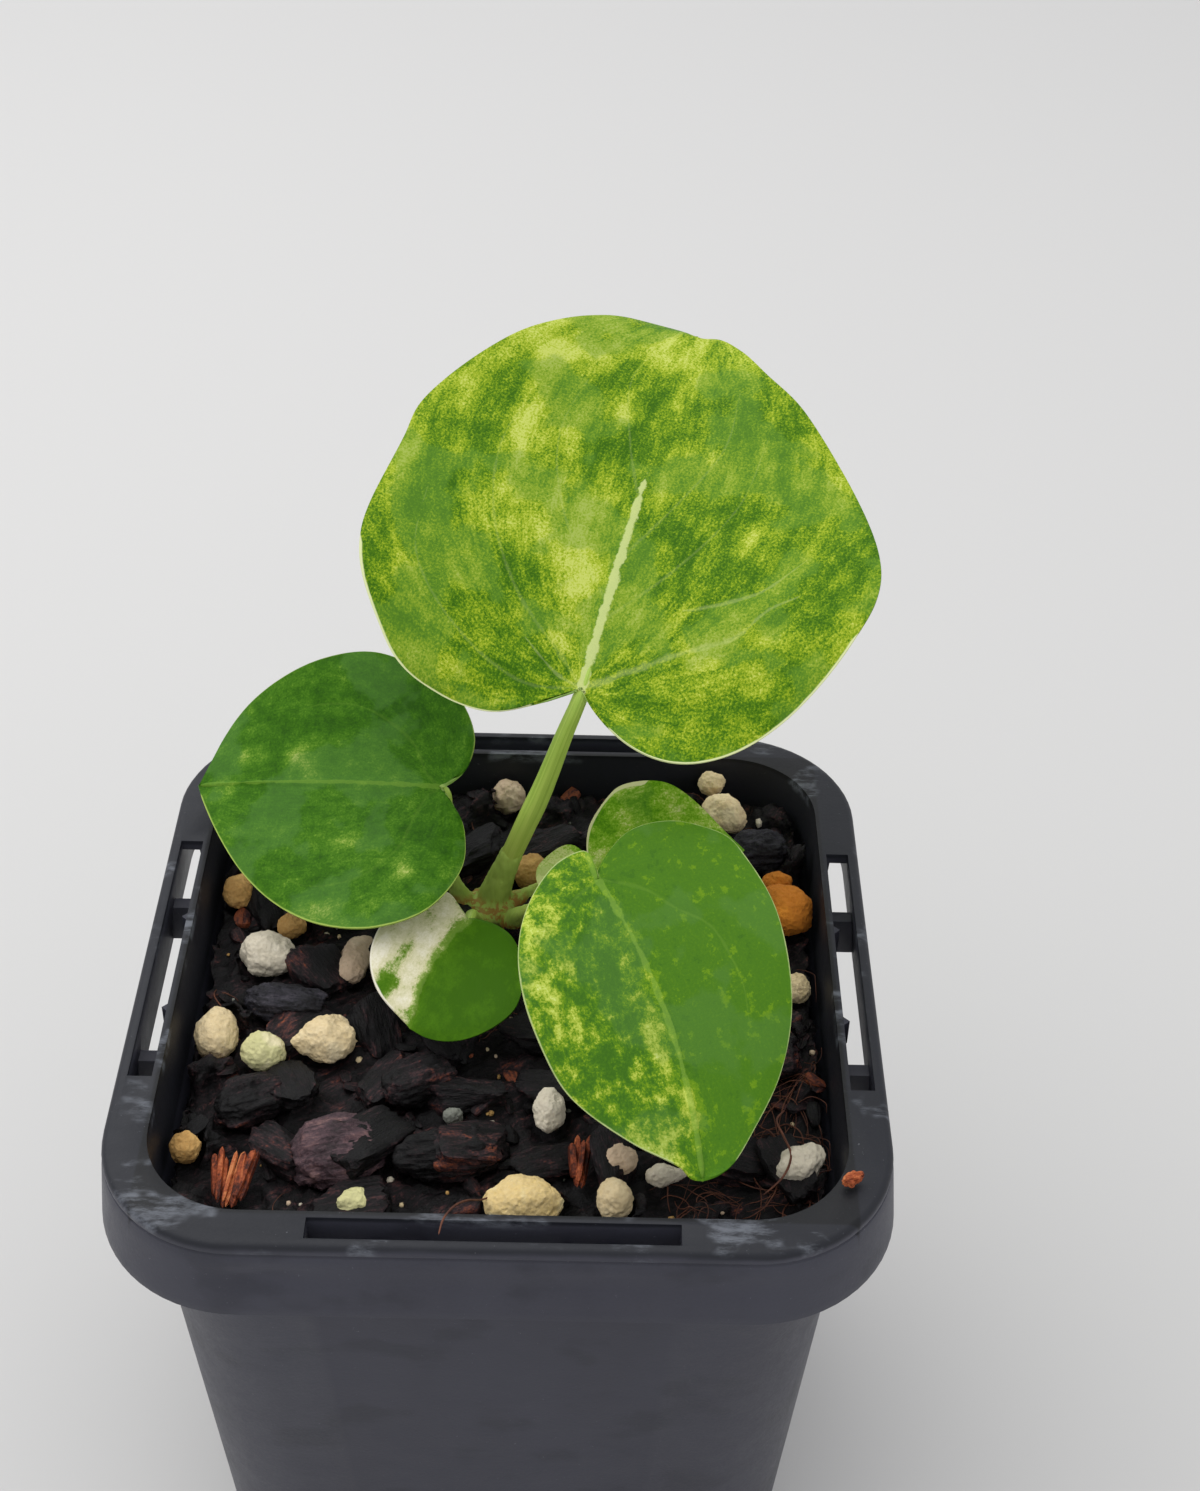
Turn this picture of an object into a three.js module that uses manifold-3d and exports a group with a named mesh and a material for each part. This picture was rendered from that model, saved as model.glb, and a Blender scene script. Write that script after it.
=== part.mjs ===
// A young anthurium with five heart-shaped leaves, in a square nursery pot of chunky bark mix.
// Millimetres, +Z up. The origin is the middle of the pot's base, and the pot's front faces -Y.
// The mix, the stones and the plant are placed from the middle of the rim's top face.

import * as THREE from 'three';
import { mergeVertices } from 'three/addons/utils/BufferGeometryUtils.js';
import Module from 'manifold-3d';

const wasm = await Module();
wasm.setup();

// Driving dimensions of the pot
const RIM_WIDTH = 70;
const POT_HEIGHT = 70;
const RIM_FLANGE = 4.0;
const RIM_CORNER = 12.8;
const MOUTH_CORNER = 8.9;
const SKIRT_HEIGHT = 8.2;
const SKIRT_FLARE = 0.8;
const SKIRT_WALL = 1.1;
const FLANGE_THICKNESS = 1.2;
const RIM_ROUNDING = 0.7;
const WALL_TOP_HALF = 32.2;
const WALL_TAPER = 0.062;
const WALL_CORNER = 10.6;
const FLOOR_THICKNESS = 1.4;
const FOOT_ROUNDING = 0.9;
const OVERCUT = 1;
const CORNER_STEPS = 7;

// The slot in each side of the flange, with its ribs and teeth
const SLOT_LENGTH = 32;
const SLOT_INNER = 31.7;
const SLOT_OUTER = 33.9;
const RIB_OFFSET = 10.4;
const RIB_THICKNESS = 1.4;
const RIB_DROP = 3.4;
const TOOTH_OFFSET = 6.2;
const TOOTH_REACH = 0.8;
const TOOTH_HALF = 1.1;
const TOOTH_HEIGHT = 3;

// Drainage slots in the floor
const DRAIN_WIDTH = 3;
const DRAIN_LENGTH = 9;
const DRAIN_RADIUS = 17;
const DRAIN_COUNT = 8;

// The mix: its level below the rim, the clearance that touching pieces keep, and the loose bark in it
const MIX_DROP = 6.3;
const MIX_RISE = 2.2;
const RISE_START = 6;
const CLEARANCE = 0.3;
const CHIP_SPACING = 7.8;
const CHIP_REACH = 27.3;
const CHIP_SINK = 5.5;
const CHIP_STRAY = 3.2;
const CHIP_SEED = 4127;

// Leaf blades and the stem that they grow from. FAN_SHARE of a blade's rows start at its notch, the rest
// move along the midrib. Waves grow towards the edge, and calm down beside the notch.
const BLADE_THICKNESS = 0.72;
const FAN_SHARE = 0.3;
const ROW_BEND = 1.15;
const WAVE_BIAS = 2.5;
const WAVE_CALM = 0.08;
const MIDRIB_SINK = 0.2;
const CROWN = [-2.4, 11.9, -4.3];
const CROWN_RADIUS = 2.9;
const CROWN_DEPTH = 5.5;
const TUBE_SIDES = 8;

const MOUTH_HALF = RIM_WIDTH / 2 - RIM_FLANGE;

const finish = {
  pot: new THREE.MeshStandardMaterial({ color: 0x3c3e44, roughness: 0.55, metalness: 0 }),
  mix: new THREE.MeshStandardMaterial({ color: 0x1f191b, roughness: 0.9, metalness: 0 }),
  bark: new THREE.MeshStandardMaterial({ color: 0x2f2629, roughness: 0.85, metalness: 0 }),
  redBark: new THREE.MeshStandardMaterial({ color: 0x8a4327, roughness: 0.85, metalness: 0 }),
  pumice: new THREE.MeshStandardMaterial({ color: 0xd6c79c, roughness: 0.95, metalness: 0 }),
  clay: new THREE.MeshStandardMaterial({ color: 0xc9822f, roughness: 0.9, metalness: 0 }),
  stem: new THREE.MeshStandardMaterial({ color: 0x8c8f35, roughness: 0.6, metalness: 0 }),
  leaf: new THREE.MeshStandardMaterial({ color: 0x5a8f22, roughness: 0.5, metalness: 0 }),
};

// A small repeatable random source, so that every chip lies where it did before
function randomSource(seed) {
  let state = seed;
  return () => {
    state = (state * 16807) % 2147483647;
    return state / 2147483647;
  };
}

function solidOf(geometry) {
  const bare = geometry.clone();
  bare.deleteAttribute('normal');
  bare.deleteAttribute('uv');
  const merged = mergeVertices(bare, 1e-4);
  return new wasm.Manifold(new wasm.Mesh({
    numProp: 3,
    vertProperties: new Float32Array(merged.attributes.position.array),
    triVerts: new Uint32Array(merged.index.array),
  }));
}

function geometryOf(solid) {
  const mesh = solid.getMesh();
  const geometry = new THREE.BufferGeometry();
  geometry.setAttribute('position', new THREE.BufferAttribute(new Float32Array(mesh.vertProperties), 3));
  geometry.setIndex(new THREE.BufferAttribute(new Uint32Array(mesh.triVerts), 1));
  geometry.computeVertexNormals();
  return geometry;
}

// Keeps the largest of the bodies in a mesh, and drops the loose scraps that cutting leaves beside it
function largestBody(solid) {
  const geometry = geometryOf(solid);
  const index = geometry.index.array;
  const root = Array.from({ length: geometry.attributes.position.count }, (unused, i) => i);
  const find = (i) => {
    let at = i;
    while (root[at] !== at) at = root[at];
    root[i] = at;
    return at;
  };
  for (let i = 0; i < index.length; i += 3) {
    root[find(index[i + 1])] = find(index[i]);
    root[find(index[i + 2])] = find(index[i]);
  }
  const bodies = new Map();
  for (let i = 0; i < index.length; i += 3) {
    const body = find(index[i]);
    if (!bodies.has(body)) bodies.set(body, []);
    bodies.get(body).push(index[i], index[i + 1], index[i + 2]);
  }
  const [largest] = [...bodies.values()].sort((a, b) => b.length - a.length);
  geometry.setIndex(largest);
  return withoutStrays(geometry);
}

function withoutStrays(geometry) {
  const kept = geometry.toNonIndexed();
  kept.deleteAttribute('normal');
  return mergeVertices(kept, 1e-5);
}

function indexed(points, triangles) {
  const geometry = new THREE.BufferGeometry();
  const numbers = points.flatMap((p) => [p.x, p.y, p.z]);
  geometry.setAttribute('position', new THREE.Float32BufferAttribute(numbers, 3));
  geometry.setIndex(triangles);
  return geometry;
}

// A closed solid through a stack of loops that all have the same number of points, anticlockwise from above
function loft(loops) {
  const count = loops[0].length;
  const points = loops.flat();
  const triangles = [];
  for (let level = 0; level + 1 < loops.length; level += 1) {
    for (let i = 0; i < count; i += 1) {
      const a = level * count + i;
      const b = level * count + ((i + 1) % count);
      triangles.push(a, b, b + count, a, b + count, a + count);
    }
  }
  const top = (loops.length - 1) * count;
  const middleBottom = points.length;
  points.push(averageOf(loops[0]));
  points.push(averageOf(loops[loops.length - 1]));
  for (let i = 0; i < count; i += 1) {
    const next = (i + 1) % count;
    triangles.push(next, i, middleBottom);
    triangles.push(top + i, top + next, middleBottom + 1);
  }
  return indexed(points, triangles);
}

function averageOf(points) {
  const sum = points.reduce((total, p) => total.add(p), new THREE.Vector3());
  return sum.multiplyScalar(1 / points.length);
}

function roundedSquare(half, corner, z) {
  const loop = [];
  for (let quarter = 0; quarter < 4; quarter += 1) {
    for (let step = 0; step <= CORNER_STEPS; step += 1) {
      const angle = (quarter + step / CORNER_STEPS) * Math.PI / 2;
      const centre = new THREE.Vector2(half - corner, half - corner).rotateAround(
        new THREE.Vector2(), quarter * Math.PI / 2);
      loop.push(new THREE.Vector3(
        centre.x + corner * Math.cos(angle), centre.y + corner * Math.sin(angle), z));
    }
  }
  return loop;
}

function roundedBlock(levels) {
  return solidOf(loft(levels.map(([z, half, corner]) => roundedSquare(half, corner, z))));
}

function wallHalf(z) {
  return WALL_TOP_HALF - WALL_TAPER * (POT_HEIGHT - z);
}

function hollowHalf(z) {
  return MOUTH_HALF - WALL_TAPER * (POT_HEIGHT - z);
}

// The space inside the pot, drawn in by a clearance, from one height to another
function hollow(low, high, clearance) {
  return roundedBlock([low, high].map((z) => [z, hollowHalf(z) - clearance, MOUTH_CORNER - clearance]));
}

// The pot: a tapered shell with a slotted flange, and a skirt hanging from the flange's edge
function potShell() {
  const rimHalf = RIM_WIDTH / 2;
  const skirtFoot = POT_HEIGHT - SKIRT_HEIGHT;
  const skirt = roundedBlock([
    [skirtFoot, rimHalf + SKIRT_FLARE, RIM_CORNER + SKIRT_FLARE],
    [POT_HEIGHT - 2 * RIM_ROUNDING, rimHalf + 0.1, RIM_CORNER],
    [POT_HEIGHT - RIM_ROUNDING / 2, rimHalf - 0.1, RIM_CORNER],
    [POT_HEIGHT, rimHalf - RIM_ROUNDING, RIM_CORNER - RIM_ROUNDING],
  ]);
  const underFlange = POT_HEIGHT - FLANGE_THICKNESS;
  const channel = roundedBlock([
    [skirtFoot - OVERCUT, rimHalf + SKIRT_FLARE - SKIRT_WALL, RIM_CORNER + SKIRT_FLARE - SKIRT_WALL],
    [underFlange, rimHalf - SKIRT_WALL, RIM_CORNER - SKIRT_WALL],
  ]);
  const body = roundedBlock([
    [0, wallHalf(0) - FOOT_ROUNDING, WALL_CORNER - FOOT_ROUNDING],
    [FOOT_ROUNDING, wallHalf(FOOT_ROUNDING), WALL_CORNER],
    [POT_HEIGHT - FLANGE_THICKNESS / 2, wallHalf(POT_HEIGHT), WALL_CORNER],
  ]);
  let pot = skirt.subtract(channel).add(body).subtract(hollow(FLOOR_THICKNESS, POT_HEIGHT + OVERCUT, 0));
  for (let side = 0; side < 4; side += 1) {
    pot = pot.subtract(slotCut(side));
    pot = sideDetails(side).reduce((shell, detail) => shell.add(detail), pot);
  }
  return drainCuts().reduce((shell, cut) => shell.subtract(cut), pot);
}

function boxSolid(size, middle, turn) {
  const box = new THREE.BoxGeometry(...size).translate(...middle).rotateZ(turn);
  return solidOf(box);
}

function slotCut(side) {
  const width = SLOT_OUTER - SLOT_INNER;
  const height = SKIRT_HEIGHT + 2 * OVERCUT;
  const middle = [(SLOT_OUTER + SLOT_INNER) / 2, 0, POT_HEIGHT + OVERCUT - height / 2];
  return boxSolid([width, SLOT_LENGTH, height], middle, side * Math.PI / 2);
}

// Two ribs that tie the skirt to the wall below each slot, and two small teeth on the wall
function sideDetails(side) {
  const turn = side * Math.PI / 2;
  const ribHeight = SKIRT_HEIGHT - RIB_DROP - 0.5;
  const ribLength = SLOT_OUTER - SLOT_INNER + 1.4;
  const ribMiddle = [(SLOT_OUTER + SLOT_INNER) / 2 + 0.1, 0, POT_HEIGHT - RIB_DROP - ribHeight / 2];
  const details = [];
  for (const way of [-1, 1]) {
    ribMiddle[1] = way * RIB_OFFSET;
    details.push(boxSolid([ribLength, RIB_THICKNESS, ribHeight], ribMiddle, turn));
    details.push(tooth(way * TOOTH_OFFSET, turn));
  }
  return details;
}

function tooth(offset, turn) {
  const outline = new THREE.Shape([
    new THREE.Vector2(SLOT_INNER - 0.4, offset - TOOTH_HALF),
    new THREE.Vector2(SLOT_INNER + TOOTH_REACH, offset),
    new THREE.Vector2(SLOT_INNER - 0.4, offset + TOOTH_HALF),
  ]);
  const wedge = new THREE.ExtrudeGeometry(outline, { depth: TOOTH_HEIGHT, bevelEnabled: false });
  return solidOf(wedge.translate(0, 0, POT_HEIGHT - FLANGE_THICKNESS - TOOTH_HEIGHT).rotateZ(turn));
}

function drainCuts() {
  const cuts = [];
  for (let i = 0; i < DRAIN_COUNT; i += 1) {
    const turn = (i / DRAIN_COUNT) * 2 * Math.PI;
    const size = [DRAIN_LENGTH, DRAIN_WIDTH, FLOOR_THICKNESS + 2 * OVERCUT];
    cuts.push(boxSolid(size, [DRAIN_RADIUS, 0, FLOOR_THICKNESS / 2], turn));
  }
  return cuts;
}

// A rough lump: a faceted ball made boxier or rounder, dented by a seeded draw, stretched and turned.
// grow adds the same margin all round, which makes the socket that the lump sits in.
function lump({ size, at, turn = 0, tilt = 0, boxy = 0, rough = 0.12, seed, detail = 1 }, grow = 0) {
  const draw = randomSource(seed);
  const ball = new THREE.IcosahedronGeometry(1, detail);
  ball.deleteAttribute('normal');
  ball.deleteAttribute('uv');
  const geometry = mergeVertices(ball, 1e-4);
  const place = geometry.attributes.position;
  const point = new THREE.Vector3();
  for (let i = 0; i < place.count; i += 1) {
    point.fromBufferAttribute(place, i);
    const largest = Math.max(Math.abs(point.x), Math.abs(point.y), Math.abs(point.z));
    point.multiplyScalar(1 + boxy * (1 / largest - 1) - 0.35 * boxy);
    point.multiplyScalar(1 + rough * (2 * draw() - 1));
    point.set(point.x * (size[0] + grow), point.y * (size[1] + grow), point.z * (size[2] + grow));
    place.setXYZ(i, point.x, point.y, point.z);
  }
  geometry.rotateY(tilt).rotateZ(turn).translate(...at);
  return geometry;
}

// Pieces that lie on the mix, by their middle below the rim's top face: half sizes, turn and form
const STONES = [
  { name: 'pumice_01', at: [-27.6, -6.1, -4.9], size: [2.0, 2.8, 2.3], rough: 0.05, seed: 11 },
  { name: 'pumice_02', at: [-22.9, -8.3, -4.7], size: [2.1, 1.9, 1.8], rough: 0.08, seed: 12 },
  { name: 'pumice_03', at: [-17.0, -6.7, -4.6], size: [2.4, 2.1, 1.9], rough: 0.2, seed: 13 },
  { name: 'pumice_04', at: [-24.2, 4.7, -4.6], size: [2.6, 2.2, 2.1], rough: 0.16, seed: 14 },
  { name: 'pumice_05', at: [-22.2, 9.1, -4.9], size: [1.5, 1.3, 1.2], rough: 0.14, seed: 15 },
  { name: 'pumice_06', at: [-28.0, 13.9, -4.8], size: [1.8, 2.1, 1.6], rough: 0.14, seed: 16 },
  { name: 'pumice_07', at: [-15.4, 4.1, -4.6], size: [1.5, 2.5, 1.8], rough: 0.12, seed: 17 },
  { name: 'pumice_08', at: [-28.6, -19.8, -5.2], size: [1.4, 1.5, 1.4], rough: 0.07, seed: 18 },
  { name: 'pumice_09', at: [-12.7, -26.0, -5.1], size: [1.7, 1.4, 1.3], rough: 0.14, seed: 19 },
  { name: 'pumice_10', at: [2.3, -25.8, -4.6], size: [3.3, 2.2, 2.1], rough: 0.16, seed: 20 },
  { name: 'pumice_11', at: [10.4, -25.2, -4.6], size: [1.7, 1.8, 1.8], rough: 0.1, seed: 21 },
  { name: 'pumice_12', at: [10.7, -20.9, -4.5], size: [1.8, 1.5, 1.5], rough: 0.1, seed: 22 },
  { name: 'pumice_13', at: [14.6, -21.9, -5.3], size: [1.6, 1.1, 1.1], rough: 0.12, seed: 23 },
  { name: 'pumice_14', at: [4.3, -15.0, -4.6], size: [1.5, 2.2, 1.9], rough: 0.12, seed: 24 },
  { name: 'pumice_15', at: [27.1, -20.9, -4.6], size: [2.0, 1.8, 1.6], rough: 0.16, seed: 25 },
  { name: 'pumice_16', at: [28.2, 1.8, -5.1], size: [1.4, 1.6, 1.4], rough: 0.1, seed: 26 },
  { name: 'pumice_17', at: [21.8, 24.9, -2.5], size: [2.4, 1.9, 1.9], turn: -0.6, rough: 0.14, seed: 27 },
  { name: 'pumice_18', at: [20.5, 29.0, -1.8], size: [1.4, 1.3, 1.4], rough: 0.1, seed: 28 },
  { name: 'pumice_19', at: [-1.2, 28.2, -3.6], size: [1.8, 1.7, 1.8], rough: 0.12, seed: 29 },
  { name: 'pumice_20', at: [1.8, 17.4, -4.6], size: [2.0, 1.8, 1.8], rough: 0.1, seed: 30 },
  { name: 'pumice_21', at: [-4.6, -15.3, -5.4], size: [0.9, 0.8, 0.9], rough: 0.08, seed: 31 },
  { name: 'pumice_22', at: [15.5, -5.5, -4.7], size: [1.9, 1.7, 1.6], rough: 0.12, seed: 32 },
  { name: 'pumice_23', at: [20.6, 5.5, -4.7], size: [1.7, 1.9, 1.5], rough: 0.12, seed: 33 },
  { name: 'pumice_24', at: [-16.5, 23.5, -3.9], size: [2.1, 1.7, 1.6], rough: 0.14, seed: 34 },
  { name: 'clay_ball_01', at: [27.8, 11.0, -3.4], size: [2.4, 2.5, 2.4], rough: 0.05, seed: 41 },
  { name: 'clay_ball_02', at: [26.9, 15.3, -3.6], size: [1.6, 1.3, 1.3], rough: 0.08, seed: 42 },
];

const CHUNKS = [
  { name: 'bark_01', at: [-14.9, -20.2, -4.9], size: [4.1, 3.1, 2.3], turn: 0.3, boxy: 0.25, seed: 51 },
  { name: 'bark_02', at: [-21.6, -1.7, -5.0], size: [4.3, 2.0, 1.9], turn: -0.1, boxy: 0.4, seed: 52 },
  { name: 'bark_03', at: [-23.4, -14.2, -5.1], size: [4.1, 2.6, 1.9], turn: 0.5, boxy: 0.5, seed: 53 },
  { name: 'bark_04', at: [-4.9, -20.2, -5.0], size: [5.3, 2.5, 2.2], turn: 0.1, boxy: 0.5, seed: 54 },
  { name: 'bark_05', at: [-8.1, -11.3, -5.0], size: [4.2, 2.6, 2.0], turn: 0.5, boxy: 0.5, seed: 55 },
  { name: 'bark_06', at: [25.2, 20.3, -3.6], size: [3.3, 2.3, 2.3], turn: 0.2, boxy: 0.4, seed: 56 },
  { name: 'bark_07', at: [25.6, -6.6, -5.1], size: [2.4, 3.6, 1.9], turn: 0.2, boxy: 0.5, seed: 57 },
  { name: 'bark_08', at: [-16.6, 14.0, -5.0], size: [4.0, 2.6, 2.1], turn: 0.7, boxy: 0.5, seed: 58 },
  { name: 'bark_09', at: [9.3, 20.5, -4.2], size: [4.4, 2.3, 2.1], turn: -0.2, boxy: 0.5, seed: 59 },
  { name: 'bark_10', at: [-8.6, 22.6, -4.1], size: [3.6, 2.4, 2.0], turn: 0.4, boxy: 0.5, seed: 60 },
];

const SLIVERS = [
  { name: 'bark_sliver_01', at: [-23.8, -23.7, -5.1], size: [0.9, 2.5, 1.1], turn: 0.2, boxy: 0.5, seed: 71 },
  { name: 'bark_sliver_02', at: [7.2, -20.5, -5.1], size: [0.8, 2.6, 1.0], turn: -0.1, boxy: 0.5, seed: 72 },
];

const CRUMB = {
  name: 'bark_crumb', at: [30.9, -27.1, 0.85], size: [1.0, 0.6, 0.5], turn: 0.4, boxy: 0.4, seed: 73,
};

// The mix lies level, and is heaped up a little towards the rear wall
function mixHeap(y) {
  return MIX_RISE * Math.max(0, y - RISE_START) / (MOUTH_HALF - RISE_START);
}

// The loose chips that make the mix's surface, one to a cell of a jittered grid
function mixChips() {
  const draw = randomSource(CHIP_SEED);
  const chips = [];
  for (let x = -CHIP_REACH; x <= CHIP_REACH; x += CHIP_SPACING) {
    for (let y = -CHIP_REACH; y <= CHIP_REACH; y += CHIP_SPACING) {
      const at = [x + CHIP_STRAY * (draw() - 0.5), y + CHIP_STRAY * (draw() - 0.5), 0];
      at[2] = mixHeap(at[1]) - CHIP_SINK + 1.4 * (draw() - 0.5);
      const size = [3.0 + 1.7 * draw(), 2.0 + 1.0 * draw(), 1.6 + 0.6 * draw()];
      const turn = Math.PI * draw();
      const tilt = 0.8 * (draw() - 0.5);
      const seed = 1 + Math.floor(9999 * draw());
      chips.push({ at, size, turn, tilt, boxy: 0.5, seed, detail: 0 });
    }
  }
  return chips;
}

function mixFill() {
  const loops = [FLOOR_THICKNESS + CLEARANCE, POT_HEIGHT - MIX_DROP].map((z) => (
    roundedSquare(hollowHalf(z) - CLEARANCE, MOUTH_CORNER - CLEARANCE, z - POT_HEIGHT)));
  loops[1].forEach((p) => p.setZ(p.z + mixHeap(p.y)));
  return solidOf(loft(loops));
}

// The whole mix in the pot, with a socket for each piece that lies on it and a plain hole for the plant
function mixBody(seated) {
  const cavity = hollow(FLOOR_THICKNESS + CLEARANCE, POT_HEIGHT, CLEARANCE).translate([0, 0, -POT_HEIGHT]);
  const heap = mixChips().reduce((body, chip) => body.add(solidOf(lump(chip))), mixFill());
  const sockets = seated.map((piece) => solidOf(lump(piece, CLEARANCE)));
  const holes = [crownForm(CLEARANCE), ...LEAVES.map((leaf) => leafStalk(leaf, CLEARANCE))];
  return [...sockets, ...holes].reduce((body, cut) => body.subtract(cut), heap.intersect(cavity));
}

// The five leaves. attach is where the stalk meets the blade, tip its far end, facing the way it looks.
// right and left are the blade's two edges, from the notch to the tip, along and across the midrib.
const LEAVES = [
  {
    name: 'leaf_main',
    attach: [6.5, 10.4, 25], tip: [17.5, 50.3, 40], facing: [0, -0.26, 0.966],
    arch: 0.0048, fold: 0.16, softness: 5, bow: 0,
    wave: { height: 0.9, count: 5, phase: 0.6 },
    right: [[-2.3, 2.1], [-4.6, 5.5], [-5.5, 8.7], [-5.2, 11.6], [-3.4, 15.2], [-0.1, 18.7], [4.2, 21.6],
      [8.4, 23.5], [12.5, 24.6], [16.6, 24.2], [25.5, 20.0], [34.6, 13.1], [38.6, 8.6], [42.4, 4.9],
      [44.2, 2.3]],
    left: [[-4.1, -7.3], [-3.6, -14.0], [-2.3, -17.2], [0.3, -19.7], [4.5, -22.6], [8.0, -23.8],
      [11.5, -24.1], [20.6, -23.6], [25.1, -23.2], [34.6, -17.9], [38.6, -15.1], [42.9, -11.1],
      [44.8, -7.8], [44.9, -1.4]],
    rows: 26, columns: 6,
    stalk: [[-2.3, 12.3, -4.7], [-1.5, 12.5, -1.6], [0.8, 12.3, 5.3], [2.8, 11.5, 11.6], [5.0, 10.3, 19.8]],
    radii: [1.05, 1.15, 0.78, 0.5, 0.35],
  },
  {
    name: 'leaf_left',
    attach: [-7.2, 13.4, 10], tip: [-32.3, 19.9, 4], facing: [-0.05, -0.45, 0.89],
    arch: 0.006, fold: 0.14, softness: 3, bow: 0,
    wave: { height: 0.5, count: 4, phase: 0.3 },
    right: [[-0.4, 0.6], [-2.1, 1.7], [-2.9, 4.9], [-1.3, 8.6], [1.1, 10.9], [3.8, 12.4], [8.6, 13.8],
      [14.0, 12.9], [20.2, 10.2], [23.0, 8.0], [24.8, 5.3]],
    left: [[-2.4, -2.8], [-3.2, -4.6], [-3.6, -8.6], [-1.4, -13.4], [2.8, -15.7], [8.1, -15.7],
      [13.7, -13.6], [19.0, -9.7], [25.6, -1.7]],
    rows: 20, columns: 5,
    stalk: [[-4.5, 12.0, -4.7], [-5.9, 12.6, -2.3], [-7.1, 13.9, 3.0]],
    radii: [0.75, 0.7, 0.6, 0.45, 0.35],
  },
  {
    name: 'leaf_front',
    attach: [8.3, -3.8, 14], tip: [17.8, -28.2, 1.5], facing: [0, -0.4, 0.92],
    arch: 0.006, fold: 0.16, softness: 3, bow: -1.6,
    wave: { height: 0.5, count: 4, phase: 1.2 },
    right: [[-1.3, -0.7], [-3.5, -3.6], [-3.9, -5.8], [-3.4, -8.4], [-2.1, -10.5], [0.0, -12.5], [2.7, -13.3],
      [8.6, -13.9], [17.1, -12.3], [22.3, -9.5], [26.2, -5.7], [28.5, -2.9], [29.0, -1.4]],
    left: [[-2.3, -0.2], [-3.2, 0.2], [-3.3, 1.2], [-2.7, 3.2], [-0.7, 5.7], [2.3, 7.9], [5.5, 9.3],
      [8.9, 10.0], [12.3, 10.1], [17.7, 9.3], [20.2, 8.1], [24.6, 4.6], [27.5, 1.5], [28.6, 0.9]],
    rows: 20, columns: 5,
    stalk: [[-0.4, 10.0, -4.7], [1.0, 7.6, -1.4], [4.2, 1.9, 6.0]],
    radii: [0.75, 0.72, 0.65, 0.5, 0.35],
  },
  {
    name: 'leaf_rear',
    attach: [7.8, 11.6, 2], tip: [23.1, 13.6, 2.5], facing: [0, -0.36, 0.93],
    arch: 0.006, fold: 0.16, softness: 2, bow: 0,
    wave: { height: 0.3, count: 4, phase: 0.2 },
    right: [[-0.3, -1.2], [0.2, -3.8], [2.3, -6.8], [4.0, -8.0], [8.1, -7.7], [11.3, -5.3]],
    left: [[-0.9, -1.7], [-1.8, -2.4], [-3.0, -2.3], [-5.2, -0.7], [-5.6, 0.9], [-5.0, 2.6], [-3.5, 4.1],
      [-0.8, 5.1], [2.6, 5.2], [6.2, 4.6], [10.4, 3.2], [13.0, 2.0]],
    rows: 16, columns: 4,
    stalk: [[-0.2, 12.8, -4.7], [1.9, 12.6, -2.9], [5.0, 12.3, -0.3]],
    radii: [0.7, 0.65, 0.55, 0.42, 0.32],
  },
  {
    name: 'leaf_small',
    attach: [-4.1, 3.0, 2], tip: [-8.9, -8.5, -1], facing: [-0.02, -0.45, 0.89],
    arch: 0.01, fold: 0.1, softness: 2, bow: 1.1,
    wave: { height: 0.25, count: 3, phase: 0.2 },
    right: [[-1.3, 1.5], [-2.0, 3.0], [-1.4, 4.7], [0.3, 6.3], [2.7, 7.1], [7.3, 6.8], [10.7, 4.5]],
    left: [[-0.5, -0.4], [-0.8, -2.7], [-0.3, -4.4], [1.2, -6.0], [3.0, -7.3], [5.0, -8.0], [7.3, -8.3],
      [8.9, -7.8], [10.6, -6.6], [11.9, -5.1], [12.7, -3.4], [13.0, -1.6]],
    rows: 16, columns: 4,
    stalk: [[-3.1, 9.5, -4.7], [-3.6, 7.6, -1.9], [-3.9, 5.4, 0.5]],
    radii: [0.65, 0.6, 0.55, 0.42, 0.32],
  },
];

// The plane of a leaf: its length, and the directions along the midrib, across it and out of its face
function leafFrame(leaf) {
  const attach = new THREE.Vector3(...leaf.attach);
  const along = new THREE.Vector3(...leaf.tip).sub(attach);
  const length = along.length();
  along.normalize();
  const out = new THREE.Vector3(...leaf.facing);
  out.addScaledVector(along, -out.dot(along)).normalize();
  const across = new THREE.Vector3().crossVectors(along, out);
  return { attach, along, across, out, length };
}

// The middle of the blade at u along and v across the midrib. edge runs from 0 at the notch, round the
// right side to 0.5 at the tip and back to 1, and reach from 0 at the midrib to 1 at the edge.
function bladePoint(leaf, frame, u, v, edge, reach, lift) {
  const side = v - bowAt(leaf, frame, u);
  const arched = leaf.arch * u * (frame.length - u);
  const folded = leaf.fold * (Math.hypot(side, leaf.softness) - leaf.softness);
  const calm = Math.min(1, Math.min(edge, 1 - edge) / WAVE_CALM);
  const { height, count, phase } = leaf.wave;
  const waved = height * Math.sin(2 * Math.PI * count * edge + phase) * reach ** WAVE_BIAS * calm;
  return frame.attach.clone()
    .addScaledVector(frame.along, u)
    .addScaledVector(frame.across, v)
    .addScaledVector(frame.out, arched + folded + waved + lift);
}

function bowAt(leaf, frame, u) {
  const t = THREE.MathUtils.clamp(u / frame.length, 0, 1);
  return 4 * leaf.bow * t * (1 - t);
}

function bladeEdge(points, length, rows) {
  const path = [[0, 0], ...points, [length, 0]].map(([u, v]) => new THREE.Vector3(u, v, 0));
  return new THREE.CatmullRomCurve3(path, false, 'centripetal').getSpacedPoints(rows);
}

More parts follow.
